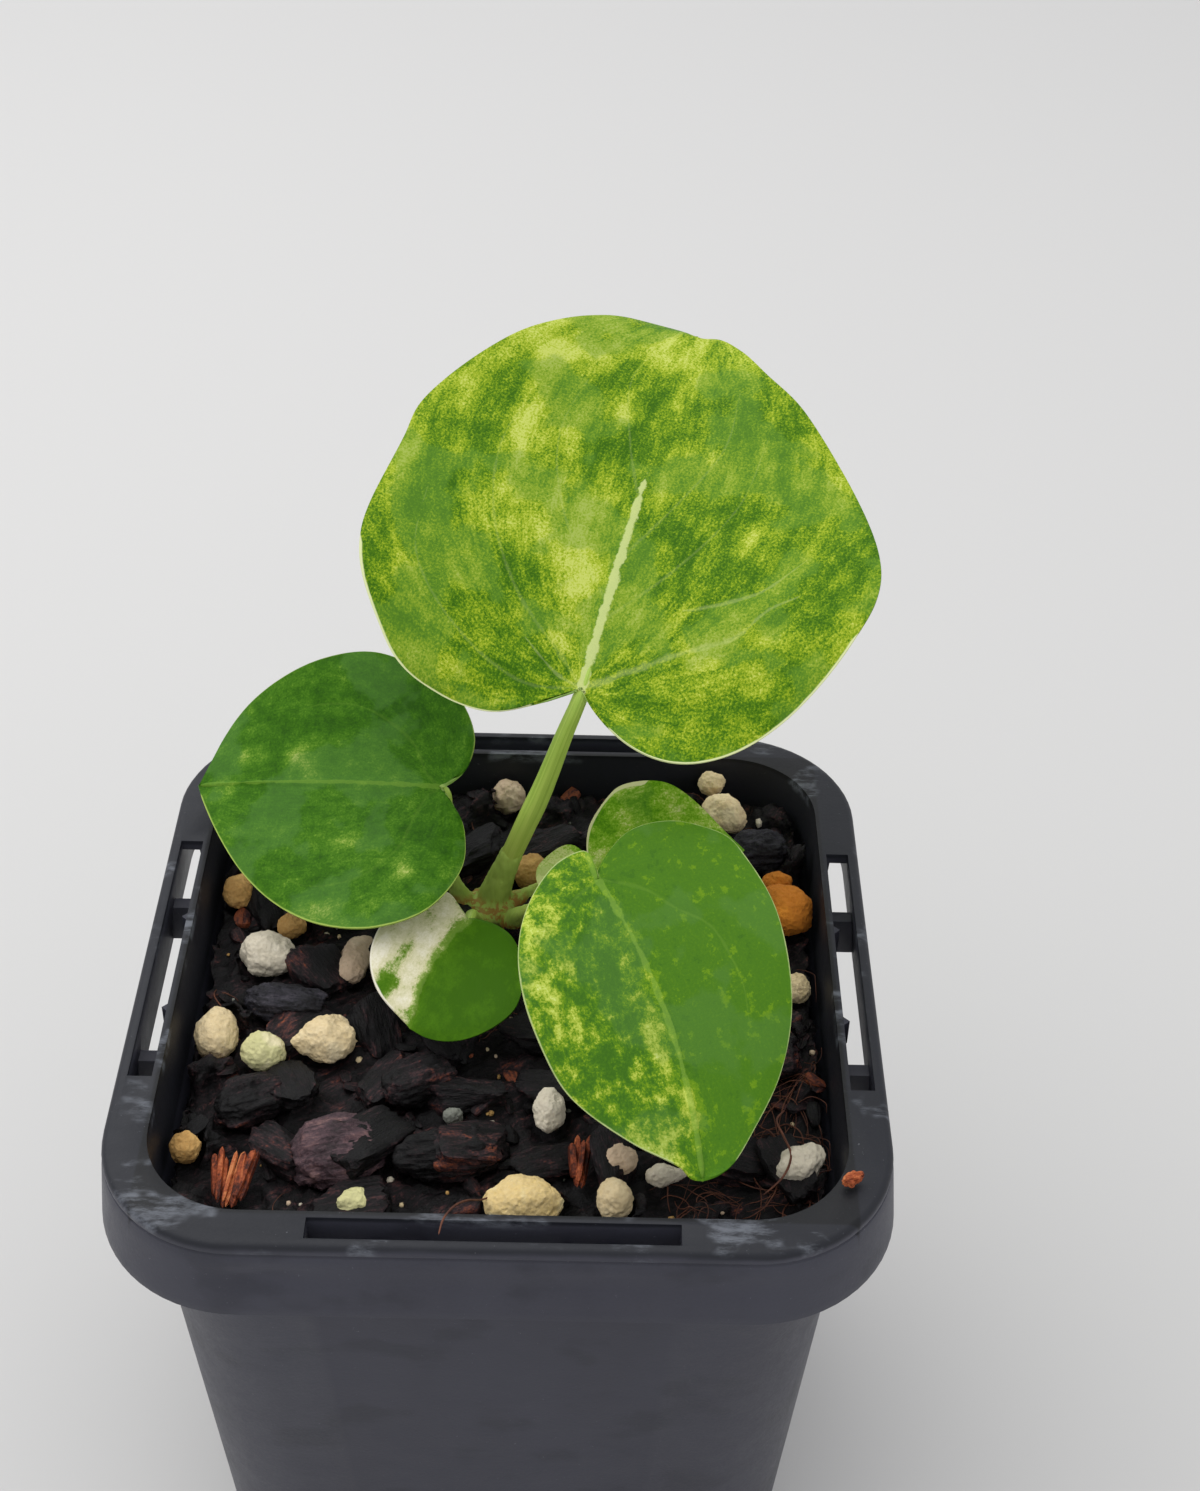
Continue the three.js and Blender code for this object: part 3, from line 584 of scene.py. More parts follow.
@dataclass(frozen=True)
class BladeFinish:
    """Upper face of a living aroid leaf: satin cuticle over cells that sparkle, so fine bright grain shows;
    that sparkle is painted into the colour as a painted highlight, and a painted bluish sheen is laid over
    it.

    The tones run from dark to pale as the green plastids thin out in a marbled leaf.
    """

    name: str
    tones: tuple[tuple[float, str], ...]
    vein: str
    hem: str
    cloud: float = 0.9
    mottle: float = 1.2
    band: float = 0.8
    streak: float = 0.8
    painted_sparkle: float = 1.2
    midrib_show: float = 0.85
    vein_show: float = 0.2
    # Strength and colour of a painted bluish sheen.
    painted_sheen: float = 0.2
    sheen_tone: str = "567f3c"
    crispness: float = 0.65
    patch_size: float = 2.4
    roughness: float = 0.5

    def material(self) -> Material:
        """Builds the upper face's material."""
        paint = Paint(self.name)
        place = paint.plane_mm()
        flow = paint.attribute("flow", "Vector")
        fibres = paint.grain(flow, 1.0, 4.0, 0.6, stretch=(34.0, 2.6, 1.0))
        bands = paint.grain(flow, 1.0, 5.0, 0.62, stretch=(4.5, 1.1, 1.0))
        # Real cells are about 0.05 mm wide. They are drawn coarser, so that their sparkle shows.
        sparkle = paint.grain(place, 0.24, 3.0, 0.75)
        patchy = paint.grain(place, self.patch_size, 6.0, 0.7)
        cloudy = paint.grain(place, 8.0, 3.0)
        lively = paint.attribute("lively")
        coarse = paint.weigh(0.0, [(cloudy, self.cloud), (patchy, self.mottle), (bands, self.band)])
        coarse = paint.reckon("MULTIPLY_ADD", coarse, lively, paint.attribute("pale"))
        islands = paint.weigh(0.5, [(paint.ramp_down(coarse, level + 0.02, level - 0.02), 0.17)
                                    for level in (0.16, 0.33, 0.5, 0.67, 0.84)])
        tone = paint.node("ShaderNodeMix", {"data_type": "FLOAT"}, {
            0: self.crispness, 2: coarse, 3: islands}).outputs[0]
        # Painted highlight: the cells' sparkle is added to the tone as fine bright and dark grain.
        fine = paint.weigh(0.0, [(fibres, self.streak), (sparkle, self.painted_sparkle)])
        tone = paint.reckon("MULTIPLY_ADD", fine, lively, tone)
        flesh = paint.ramp(tone, self.tones)
        # Painted sheen: soft bluish patches stand in for the sky's reflection on the satin surface.
        painted_sheen = paint.product(paint.ramp_down(paint.grain(place, 9.0, 4.0), 0.45, 0.5), self.painted_sheen)
        flesh = paint.blend(painted_sheen, flesh, self.sheen_tone)
        ragged = paint.weigh(0.0, [(paint.grain(place, 1.6, 5.0, 0.6), 3.4), (sparkle, 1.0)])
        lines = self.vein_lines(paint, ragged)
        flesh = paint.blend(lines, flesh, self.vein)
        inset = paint.weigh(paint.attribute("inset"), [(patchy, 0.25)])
        bare = paint.reckon("SUBTRACT", paint.attribute("hem"), inset)
        border = paint.ramp_down(bare, 0.08, -0.08)
        flesh = paint.blend(border, flesh, self.hem)
        relief = paint.weigh(0.5, [(sparkle, 0.55), (fibres, 0.35), (patchy, 0.35)])
        gloss = paint.weigh(self.roughness, [(sparkle, 0.22), (cloudy, 0.12)])
        return paint.close(flesh, gloss, 1.42, 0.08, relief, 0.035)

    def vein_lines(self, paint: Paint, ragged: Socket) -> Socket:
        """Draws the midrib and the main veins.

        Args:
            paint: The material in the making.
            ragged: A pattern that makes their borders uneven.

        Returns:
            How strongly a vein shows, from 0 to 1.
        """
        strongest: Value = 0.0
        for name, full, none, show in (("midrib", 0.7, 1.1, self.midrib_show),
                                       ("vein_near", 0.2, 1.3, self.vein_show),
                                       ("vein_far", 0.2, 1.3, self.vein_show * 0.45)):
            reach = paint.reckon("ABSOLUTE", paint.attribute(name))
            line = paint.ramp_down(paint.reckon("ADD", reach, ragged), full, none)
            near = paint.ramp_down(paint.attribute(name + "_gap"), 2.2, 3.2)
            strongest = paint.reckon("MAXIMUM", strongest, paint.product(paint.product(line, show), near))
        return strongest


@dataclass(frozen=True)
class UndersideFinish:
    """Lower face of the leaf: no gloss, paler, with the veins standing out lighter still."""

    name: str = "leaf underside"
    dark: str = "557f2c"
    pale: str = "98b95c"
    vein: str = "a9c168"

    def material(self) -> Material:
        """Builds the lower face's material."""
        paint = Paint(self.name)
        place = paint.plane_mm()
        cells = paint.grain(place, 0.35, 2.0)
        tone = paint.weigh(0.5, [(paint.grain(place, 4.0, 4.0, 0.6), 0.8), (cells, 0.5)])
        tone = paint.reckon("ADD", tone, paint.product(paint.attribute("pale"), 0.6))
        flesh = paint.blend(tone, self.dark, self.pale)
        near = paint.ramp_down(paint.reckon("ABSOLUTE", paint.attribute("midrib")), 0.6, 1.6)
        side = paint.ramp_down(paint.reckon("ABSOLUTE", paint.attribute("vein_near")), 0.4, 1.8)
        flesh = paint.blend(paint.reckon("MAXIMUM", near, side), flesh, self.vein, 0.6)
        return paint.close(flesh, 0.62, 1.42, 0.35, cells, 0.03)


@dataclass(frozen=True)
class StalkFinish:
    """Leaf stalk: a smooth waxy green rod with fine darker lines along it, olive and rusty at its foot."""

    name: str
    body: str = "bfd864"
    line: str = "8ab03a"
    foot: str = "a8b654"
    rust: str = "93521c"
    rust_share: float = 0.4

    def material(self) -> Material:
        """Builds the stalk's material. The map's second coordinate runs from its foot to its end."""
        paint = Paint(self.name)
        grow = paint.node("ShaderNodeUVMap", {"uv_map": "grow"}).outputs[0]
        place = paint.object_mm()
        height = paint.axes(grow)[1]
        lines = paint.grain(grow, 1.0, 4.0, 0.65, stretch=(26.0, 2.2, 1.0))
        pores = paint.grain(place, 0.25, 2.0)
        cloudy = paint.grain(place, 3.0, 3.0)
        tone = paint.weigh(0.4, [(lines, 2.6), (cloudy, 0.5)])
        flesh = paint.blend(tone, self.body, self.line)
        low = paint.ramp_down(paint.weigh(height, [(lines, 0.1)]), 0.1, 0.3)
        flesh = paint.blend(low, flesh, self.foot, 0.75)
        rusty = paint.ramp_down(paint.weigh(height, [(lines, 0.2)]), 0.02, 0.12)
        flesh = paint.blend(rusty, flesh, self.rust, self.rust_share)
        relief = paint.weigh(0.5, [(lines, 0.8), (pores, 0.3)])
        return paint.close(flesh, paint.weigh(0.42, [(pores, 0.2)]), 1.42, 0.4, relief, 0.06)


@dataclass
class Leaf:
    """One leaf: a waved blade on a stalk that runs on under it as its midrib, in millimetres.

    Places are measured from the middle of the pot's rim. The two edges run from the notch to the tip,
    along and across the midrib.
    """

    name: str
    attach: Triple
    tip: Triple
    facing: Triple
    arch: float
    fold: float
    softness: float
    bow: float
    wave: Triple
    right: tuple[tuple[float, float], ...]
    left: tuple[tuple[float, float], ...]
    stalk: tuple[Triple, ...]
    radii: tuple[float, ...]
    finish: BladeFinish
    stalk_finish: StalkFinish = StalkFinish("leaf stalk")
    patches: tuple[Patch, ...] = ()
    near_veins: tuple[Vein, ...] = ()
    far_veins: tuple[Vein, ...] = ()
    hems: tuple[Hem, ...] = ()
    split: float = 0.0
    livelier: float = 0.0
    columns: int = 180
    rows: int = 30
    midrib_width: float = 0.5
    midrib_reach: float = 0.9
    midrib_taper: float = 0.55
    thickness: float = 0.42
    fan_share: float = 0.3
    row_bend: float = 1.15
    wave_bias: float = 2.5
    wave_calm: float = 0.08
    edge_thickness: float = 0.45
    edge_reach: float = 1.2
    stalk_sides: int = 24
    stalk_steps: int = 121
    rib_drop: float = -0.62
    vein_lead: float = 0.6
    vein_reach: float = 1.12
    swellings: int = 9
    plain_tone: float = 0.35
    no_hem: float = -0.6
    far_off: float = 99.0

    def __post_init__(self) -> None:
        """Works out the blade's plane."""
        self.start = np.array(self.attach)
        run = np.array(self.tip) - self.start
        self.length = float(np.linalg.norm(run))
        self.along = run / self.length
        out = np.array(self.facing) - self.along * np.dot(self.facing, self.along)
        self.out = out / np.linalg.norm(out)
        self.across = np.cross(self.along, self.out)

    def bow_at(self, along: Points) -> Points:
        """Gives how far the midrib bows sideways at places along it."""
        share = np.clip(along / self.length, 0, 1)
        return 4 * self.bow * share * (1 - share)

    def edge(self, half: Half, shares: Points) -> Points:
        """Finds points of one edge at shares of its length."""
        points = self.right if half is Half.RIGHT else self.left
        path = smooth_path(np.array([(0.0, 0.0), *points, (self.length, 0.0)]))
        return along_path(path, shares)

    def surface(self, along: Points, across: Points, way: Points, reach: Points,
                lift: Points | float) -> Points:
        """Places points of the blade.

        Args:
            along: Their places along the midrib.
            across: Their places across it.
            way: The share of the way round the edge that each lies at.
            reach: 0 on the midrib to 1 on the edge.
            lift: How far each lies above the blade's middle.

        Returns:
            The points, measured from the middle of the pot's base.
        """
        height, count, phase = self.wave
        arched = self.arch * along * (self.length - along)
        side = across - self.bow_at(along)
        folded = self.fold * (np.hypot(side, self.softness) - self.softness)
        calm = np.minimum(1, np.minimum(way, 1 - way) / self.wave_calm)
        waved = height * np.sin(2 * math.pi * count * way + phase) * reach ** self.wave_bias * calm
        rise = np.asarray(arched + folded + waved + lift)
        points = (self.start + np.outer(along, self.along) + np.outer(across, self.across)
                  + np.outer(rise, self.out))
        return points + (0, 0, POT_HEIGHT)

    def nearest(self, veins: tuple[Vein, ...], along: Points, across: Points) -> Points:
        """Gives the offset from whichever of several veins is nearest, in its half widths."""
        offsets = [vein.offset(along, across) for vein in veins] or [np.full(along.shape, self.far_off)]
        pick = np.argmin(np.abs(offsets), axis=0)
        return np.take_along_axis(np.array(offsets), pick[None, :], axis=0)[0]

    def blade(self) -> Piece:
        """Builds the blade, with its relief and the numbers that its finish reads.

        Returns:
            The closed blade, whose second material is its underside.
        """
        piece, way, reach = grid(self.name + "_blade", self.columns, self.rows)
        share = 2 * np.minimum(way, 1 - way)
        moved = np.maximum(0, share - self.fan_share) / (1 - self.fan_share)
        foot = self.length * moved ** self.row_bend
        right = self.edge(Half.RIGHT, share)
        left = self.edge(Half.LEFT, share)
        rim = np.where((way <= 0.5)[:, None], right, left)
        along = foot + (rim[:, 0] - foot) * reach
        across = self.bow_at(foot) + (rim[:, 1] - self.bow_at(foot)) * reach
        row_length = np.hypot(rim[:, 0] - foot, rim[:, 1] - self.bow_at(foot))
        narrowing = 1 - self.midrib_taper * np.clip(along / (self.length * self.midrib_reach), 0, 1)
        midrib = (across - self.bow_at(along)) / (self.midrib_width * narrowing)
        beyond = np.clip((along / self.length - self.midrib_reach) / 0.12, 0, 1)
        midrib = np.abs(midrib) + 3 * beyond
        near = self.nearest(self.near_veins, along, across)
        far = self.nearest(self.far_veins, along, across)
        inset = (1 - reach) * row_length
        hem = np.full(way.shape, self.no_hem)
        for stretch in self.hems:
            inside = np.clip(np.minimum(way - stretch.start, stretch.end - way) / 0.015, 0, 1)
            hem = np.maximum(hem, self.no_hem + (stretch.width - self.no_hem) * inside)
        pale = np.full(way.shape, self.plain_tone)
        for patch in self.patches:
            pale = pale + patch.strength(along, across)
        pale = pale + self.split * np.tanh((across - self.bow_at(along)) / 0.9)
        relief = (0.16 * np.exp(-midrib ** 2) - 0.07 * np.exp(-(near / 1.6) ** 2)
                  - 0.04 * np.exp(-(far / 1.6) ** 2) + self.quilting(share, reach, row_length))
        set_vertices(piece, self.surface(along, across, way, reach, relief))
        set_values(piece, "flow", self.flow_lines(along, across))
        side = np.tanh((across - self.bow_at(along)) / 1.2)
        set_values(piece, "pale", pale)
        set_values(piece, "lively", 1 + 0.35 * (self.livelier * side - abs(self.livelier)))
        for name, offset in (("midrib", midrib), ("vein_near", near), ("vein_far", far)):
            set_values(piece, name, offset)
            set_values(piece, name + "_gap", np.abs(offset))
        set_values(piece, "inset", inset)
        set_values(piece, "hem", hem)
        self.map_plane(piece, along, across)
        self.thin_out(piece, inset)
        merge_doubles(piece)
        self.face_up(piece)
        for material in (self.finish.material(), UndersideFinish(self.name + " underside").material()):
            piece.data.materials.append(material)
        apply_modifier(piece, "SOLIDIFY", thickness=self.thickness * MM, offset=0.0,
                       vertex_group="body", thickness_vertex_group=0.0, material_offset=1)
        face_outwards(piece)
        return piece

    def face_up(self, piece: Piece) -> None:
        """Turns the open sheet's faces towards the side that the blade faces."""
        face_outwards(piece)
        mean = sum((face.normal * face.area for face in piece.data.polygons), Vector())
        if mean.dot(Vector(self.out)) < 0:
            piece.data.flip_normals()

    def flow_lines(self, along: Points, across: Points) -> Points:
        """Gives coordinates across and along the arcs that the veins follow from the notch to the tip."""
        side = across - self.bow_at(along)
        end = self.length * self.vein_reach
        near = np.hypot(along + self.vein_lead, side) + 0.05
        far = np.hypot(end - along, side) + 0.05
        cosine = (near ** 2 + far ** 2 - (end + self.vein_lead) ** 2) / (2 * near * far)
        return np.stack([np.arccos(np.clip(cosine, -1, 1)), np.log(near / far), 0.4 * np.sign(side)], axis=-1)

    def quilting(self, share: Points, reach: Points, row_length: Points) -> Points:
        """Gives the soft swelling of the blade between its side veins, in millimetres."""
        folds = np.sin(2 * math.pi * self.swellings * (share - 0.25 * reach ** 2))
        return 0.05 * folds * np.sin(math.pi * reach) * np.clip((row_length - 6) / 16, 0, 1)

    def map_plane(self, piece: Piece, along: Points, across: Points) -> None:
        """Adds the map "plane", on which patterns keep their real size."""
        layer = piece.data.uv_layers.new(name="plane")
        corners = np.empty(len(piece.data.loops), np.int32)
        piece.data.loops.foreach_get("vertex_index", corners)
        places = np.stack([along[corners], across[corners]], axis=-1) / PLANE_SPAN + 0.5
        layer.data.foreach_set("uv", places.astype(np.float32).ravel())

    def thin_out(self, piece: Piece, inset: Points) -> None:
        """Adds the vertex group that thins the blade towards its edge."""
        group = piece.vertex_groups.new(name="body")
        for index, gap in enumerate(inset):
            share = self.edge_thickness + (1 - self.edge_thickness) * min(1.0, gap / self.edge_reach)
            group.add([index], share, "REPLACE")

    def stem(self) -> Piece:
        """Builds the stalk, which runs on under the blade as its midrib."""
        shares = np.array([0.0, 0.12, 0.35, 0.62])
        along = shares * self.length
        flat = np.zeros(4)
        rib = self.surface(along, self.bow_at(along), flat, flat, self.rib_drop) - (0, 0, POT_HEIGHT)
        path = smooth_path(np.vstack([np.array(self.stalk), rib]))
        steps = np.linspace(0, 1, self.stalk_steps)
        path = along_path(path, steps) + (0, 0, POT_HEIGHT)
        radii = np.interp(steps, np.linspace(0, 1, len(self.radii)), self.radii)
        radii[0] = radii[-1] = 0.05
        return tube(self.name + "_stalk", path, radii, self.stalk_sides, 5, 0.07)

    def build(self) -> Piece:
        """Builds and dresses the leaf in place of its node."""
        blade = self.blade()
        smooth(blade, 50)
        stem = self.stem()
        stem.data.materials.append(self.stalk_finish.material())
        smooth(stem)
        return dress(join([blade, stem], self.name + "_grown"), [], Slot.LEAF, [self.name])


@dataclass(frozen=True)
class PotFinish:
    """Injection-moulded polypropylene filled with carbon black: satin, faintly grained, scuffed and dusty."""

    name: str = "moulded charcoal polypropylene"
    body: str = "34343e"
    sheen: str = "484953"
    # Colour of the painted shade on the flange top and in soft patches on the shell.
    damp_and_shade: str = "17191f"
    # Colour inside the mouth: painted shade together with wet plastic.
    wet_and_shade: str = "07080a"
    worn: str = "6c7078"
    dust: str = "a5a7ad"

    def material(self) -> Material:
        """Builds the plastic, with scuffs on the flange and dust towards the rim, and with painted shade on
        the flange top, in soft patches and inside the mouth, where it also stands for wet plastic.
        """
        paint = Paint(self.name)
        place = paint.object_mm()
        east, north, level = paint.axes(place)
        # The real mould's texture is about 0.1 mm wide, too fine to show at this size.
        moulded = paint.grain(place, 0.32, 3.0, 0.6)
        flow = paint.grain(place, 9.0, 3.0, stretch=(1.0, 1.0, 0.35))
        specks = paint.grain(place, 0.45, 4.0, 0.8)
        scuffs = paint.grain(place, 2.6, 6.0, 0.72, stretch=(0.45, 1.6, 1.0))
        high = paint.ramp_down(level, POT_HEIGHT - 0.5, POT_HEIGHT - 1.4)
        tone = paint.weigh(0.35, [(flow, 0.8), (moulded, 0.4)])
        shell = paint.blend(tone, self.body, self.sheen)
        rubbed = paint.ramp_down(paint.grain(place, 7.0, 3.0), 0.4, 0.47)
        worn = paint.product(paint.ramp_down(scuffs, 0.34, 0.56), paint.product(rubbed, high))
        # Painted shade: the flange top is painted darker, standing in for how the light falls on it.
        top = paint.ramp_down(paint.weigh(level, [(flow, 0.6)]), POT_HEIGHT - 0.2, POT_HEIGHT - 0.7)
        shell = paint.blend(top, shell, self.damp_and_shade, 0.88)
        # Painted shade: the inner walls near the rim are painted near black for the recess's shade, and for
        # wet plastic.
        spread = paint.reckon("MAXIMUM", paint.reckon("ABSOLUTE", east), paint.reckon("ABSOLUTE", north))
        inside = paint.product(paint.ramp_down(spread, MOUTH_HALF + 0.2, MOUTH_HALF + 0.5),
                         paint.ramp_down(level, POT_HEIGHT - 7.0, POT_HEIGHT - 8.0))
        shell = paint.blend(inside, shell, self.wet_and_shade, 0.75)
        # Painted shade: soft darker patches over the shell stand in for the shading of its dimples and
        # curves.
        painted_shade_patches = paint.ramp_down(paint.grain(place, 5.5, 3.0, stretch=(0.6, 0.6, 1.0)), 0.36, 0.48)
        shell = paint.blend(painted_shade_patches, shell, self.damp_and_shade, 0.25)
        shell = paint.blend(worn, shell, self.worn, 0.75)
        dusty = paint.product(paint.ramp_down(specks, 0.27, 0.34), paint.weigh(0.25, [(flow, 0.8)]))
        shell = paint.blend(dusty, shell, self.dust)
        gloss = paint.weigh(0.47, [(moulded, 0.2), (flow, 0.22), (scuffs, 0.2)])
        relief = paint.weigh(0.5, [(moulded, 0.6), (scuffs, 0.25)])
        return paint.close(shell, gloss, 1.49, 0.3, relief, 0.03)


@dataclass
class Pot:
    """The square nursery pot: a tapered shell with a slotted flange and a skirt, in millimetres."""

    corner: float = 12.8
    mouth_corner: float = 8.9
    skirt_height: float = 8.2
    skirt_flare: float = 0.8
    skirt_wall: float = 1.1
    flange_thickness: float = 1.2
    rim_rounding: float = 0.7
    wall_top_half: float = 32.2
    wall_taper: float = 0.062
    wall_corner: float = 10.6
    floor_thickness: float = 1.4
    foot_rounding: float = 0.9
    corner_steps: int = 16
    side_steps: int = 14
    overcut: float = 1.0
    slot_length: float = 32.0
    slot_inner: float = 31.7
    slot_outer: float = 33.9
    rib_offset: float = 10.4
    rib_thickness: float = 1.4
    rib_drop: float = 3.4
    tooth_offset: float = 6.2
    tooth_reach: float = 0.8
    tooth_sink: float = 2.0
    tooth_half: float = 1.1
    tooth_height: float = 3.0
    tooth_drop: float = 1.5
    edge_bevel: float = 0.16
    dents: tuple[Triple, ...] = ((-19.0, 4.0, 0.7), (-3.0, 4.0, 0.25), (9.0, 3.4, 0.4), (22.0, 4.0, 0.25))
    dent_drop: float = 3.9
    dent_height: float = 1.1
    drain_width: float = 3.0
    drain_length: float = 9.0
    drain_radius: float = 17.0
    drain_count: int = 8
    finish: PotFinish = PotFinish()

    def loop(self, half: float, corner: float, level: float) -> Points:
        """Lays points round a square with rounded corners.

        Args:
            half: Half the square's width.
            corner: The corners' radius.
            level: Its height above the pot's base.

        Returns:
            The points, anticlockwise from above, with some along each straight side.
        """
        quarters = []
        straight = half - corner
        for quarter in range(4):
            angles = np.arange(self.corner_steps + 1) / self.corner_steps * math.pi / 2
            shares = np.arange(1, self.side_steps) / self.side_steps
            x = np.concatenate([straight + corner * np.cos(angles), straight * (1 - 2 * shares)])
            y = np.concatenate([straight + corner * np.sin(angles), np.full(len(shares), half)])
            points = np.stack([x, y, np.full(len(x), level)], axis=-1)
            quarters.append(turned(points, quarter * math.pi / 2))
        return np.vstack(quarters)

    def block(self, name: str, levels: list[Triple]) -> Piece:
        """Builds a closed block through rounded squares, from a disc that is extruded upwards.

        Args:
            name: The block's name.
            levels: Height, half width and corner radius of each square, from the lowest.

        Returns:
            The block.
        """
        loops = [self.loop(half, corner, level) for level, half, corner in levels]
        count = len(loops[0])
        piece = add_piece(bpy.ops.mesh.primitive_circle_add, name, vertices=count, radius=1.0,
                          fill_type="NGON")
        bpy.ops.object.mode_set(mode="EDIT")
        for _ in loops[1:]:
            bpy.ops.mesh.extrude_region_move(TRANSFORM_OT_translate={"value": (0, 0, 1)})
        bpy.ops.object.mode_set(mode="OBJECT")
        drawn = vertices_of(piece) * MM
        level = np.rint(drawn[:, 2]).astype(int)
        turn = np.arctan2(drawn[:, 1], drawn[:, 0])
        first = turn[level == 0].min()
        order = np.rint((turn - first) / (2 * math.pi / count)).astype(int) % count
        set_vertices(piece, np.array([loops[i][k] for i, k in zip(level, order)]))
        face_outwards(piece)
        return piece

    def combine(self, piece: Piece, tool: Piece, operation: str) -> None:
        """Cuts or joins one closed mesh with another, which is then removed."""
        apply_modifier(piece, "BOOLEAN", operation=operation, solver="EXACT", object=tool)
        bpy.data.objects.remove(tool)

    def box(self, size: Triple, middle: Triple, turn: float) -> Piece:
        """Adds a plain block, used to cut slots and to make ribs, turned about the pot's axis."""
        piece = add_piece(bpy.ops.mesh.primitive_cube_add, "block", size=1.0)
        set_vertices(piece, turned(vertices_of(piece) * MM * size + middle, turn))
        return piece

    def tooth(self, offset: float, turn: float, sink: float) -> Piece:
        """Adds one small wedge on the wall behind a slot, sunk somewhat at the front and the back."""
        piece = add_piece(bpy.ops.mesh.primitive_cone_add, "tooth", vertices=3, radius1=1.0, radius2=1.0,
                          depth=1.0)
        drawn = vertices_of(piece) * MM
        corner = np.rint((np.arctan2(drawn[:, 1], drawn[:, 0]) + 2 * math.pi) / (2 * math.pi / 3) * 4) % 12
        names = {value: i for i, value in enumerate(sorted(set(corner)))}
        root = self.slot_inner - 0.4
        outline = [(root, offset - self.tooth_half), (self.slot_inner + self.tooth_reach, offset),
                   (root, offset + self.tooth_half)]
        level = (POT_HEIGHT - self.flange_thickness - self.tooth_drop - sink
                 + self.tooth_height * np.sign(drawn[:, 2]) / 2)
        places = np.array([(*outline[names[c]], z) for c, z in zip(corner, level)])
        set_vertices(piece, turned(places, turn))
        face_outwards(piece)
        return piece

    def arc(self, level: float, half: float, corner: float, radius: float,
            degrees: tuple[int, ...]) -> list[Triple]:
        """Rounds an outer edge with squares that step round a quarter circle.

        Args:
            level: The height of the edge before it is rounded.
            half: Half the width of the square there.
            corner: Its corners' radius.
            radius: The rounding's radius, negative for an edge at the foot.
            degrees: Where on the quarter circle each square lies.

        Returns:
            Height, half width and corner radius of each square.
        """
        steps = [(1 - math.sin(a), abs(radius) * (1 - math.cos(a))) for a in map(math.radians, degrees)]
        return [(level - radius * down, half - inset, corner - inset) for down, inset in steps]

    def shell(self) -> Piece:
        """Builds the tapered walls, the flange and the skirt, hollowed but not yet slotted."""
        half = RIM_WIDTH / 2
        foot = POT_HEIGHT - self.skirt_height
        rounding = self.rim_rounding
        arc = self.arc(POT_HEIGHT, half, self.corner, rounding, (0, 22, 45, 68, 90))
        rise = [(foot + (POT_HEIGHT - rounding - foot) * s, half + self.skirt_flare * (1 - s),
                 self.corner + self.skirt_flare * (1 - s)) for s in np.linspace(0, 0.84, 8)]
        line = [(POT_HEIGHT - drop, half - sink, self.corner - sink)
                for drop, sink in ((1.4, 0.0), (1.28, 0.16), (1.1, 0.16), (0.98, 0.0))]
        skirt = self.block("pot_moulded", rise + line + arc)
        self.dent(skirt)
        inner = half - self.skirt_wall
        channel = self.block("channel", [
            (foot - self.overcut, inner + self.skirt_flare, self.corner + self.skirt_flare - self.skirt_wall),
            (POT_HEIGHT - self.flange_thickness, inner, self.corner - self.skirt_wall)])
        base = self.wall_top_half - self.wall_taper * POT_HEIGHT
        round_foot = self.arc(0.0, base, self.wall_corner, -self.foot_rounding, (90, 60, 30, 0))
        walls = self.block("walls", round_foot + [
            (POT_HEIGHT - self.flange_thickness / 2, self.wall_top_half, self.wall_corner)])
        low = MOUTH_HALF - self.wall_taper * (POT_HEIGHT - self.floor_thickness)
        high = MOUTH_HALF + self.wall_taper * self.overcut
        hollow = self.block("hollow", [(self.floor_thickness, low, self.mouth_corner),
                                       (POT_HEIGHT + self.overcut, high, self.mouth_corner)])
        self.combine(skirt, channel, "DIFFERENCE")
        self.combine(skirt, walls, "UNION")
        self.combine(skirt, hollow, "DIFFERENCE")
        return skirt

    def dent(self, skirt: Piece) -> None:
        """Presses the soft dimples of a thin moulding into the front of the skirt."""
        points = vertices_of(skirt)
        front = points[:, 1] < -RIM_WIDTH / 2 + 0.2
        for place, width, depth in self.dents:
            near = np.exp(-((points[:, 0] - place) / width) ** 2)
            high = np.exp(-((points[:, 2] - POT_HEIGHT + self.dent_drop) / self.dent_height) ** 2)
            points[:, 1] += np.where(front, depth * near * high, 0.0)
        set_vertices(skirt, points)

    def build(self) -> Piece:
        """Builds and dresses the pot in place of its node."""
        pot = self.shell()
        width = self.slot_outer - self.slot_inner
        middle = (self.slot_outer + self.slot_inner) / 2
        height = self.skirt_height + 2 * self.overcut
        for side in range(4):
            turn = side * math.pi / 2
            cut = self.box((width, self.slot_length, height),
                           (middle, 0.0, POT_HEIGHT + self.overcut - height / 2), turn)
            self.combine(pot, cut, "DIFFERENCE")
            tall = self.skirt_height - self.rib_drop - 0.5
            sink = self.tooth_sink * (side % 2)
            for way in (-1, 1):
                rib = self.box((width + 1.4, self.rib_thickness, tall),
                               (middle + 0.1, way * self.rib_offset, POT_HEIGHT - self.rib_drop - tall / 2),
                               turn)
                self.combine(pot, rib, "UNION")
                self.combine(pot, self.tooth(way * self.tooth_offset, turn, sink), "UNION")
        for i in range(self.drain_count):
            cut = self.box((self.drain_length, self.drain_width, self.floor_thickness + 2 * self.overcut),
                           (self.drain_radius, 0.0, self.floor_thickness / 2),
                           i / self.drain_count * 2 * math.pi)
            self.combine(pot, cut, "DIFFERENCE")
        merge_doubles(pot, 0.005)
        apply_modifier(pot, "BEVEL", width=self.edge_bevel * MM, segments=2, limit_method="ANGLE",
                       angle_limit=math.radians(40), use_clamp_overlap=True)
        merge_doubles(pot, 0.002)
        smooth(pot, 32)
        return dress(pot, [self.finish.material()], Slot.POT, ["pot"])


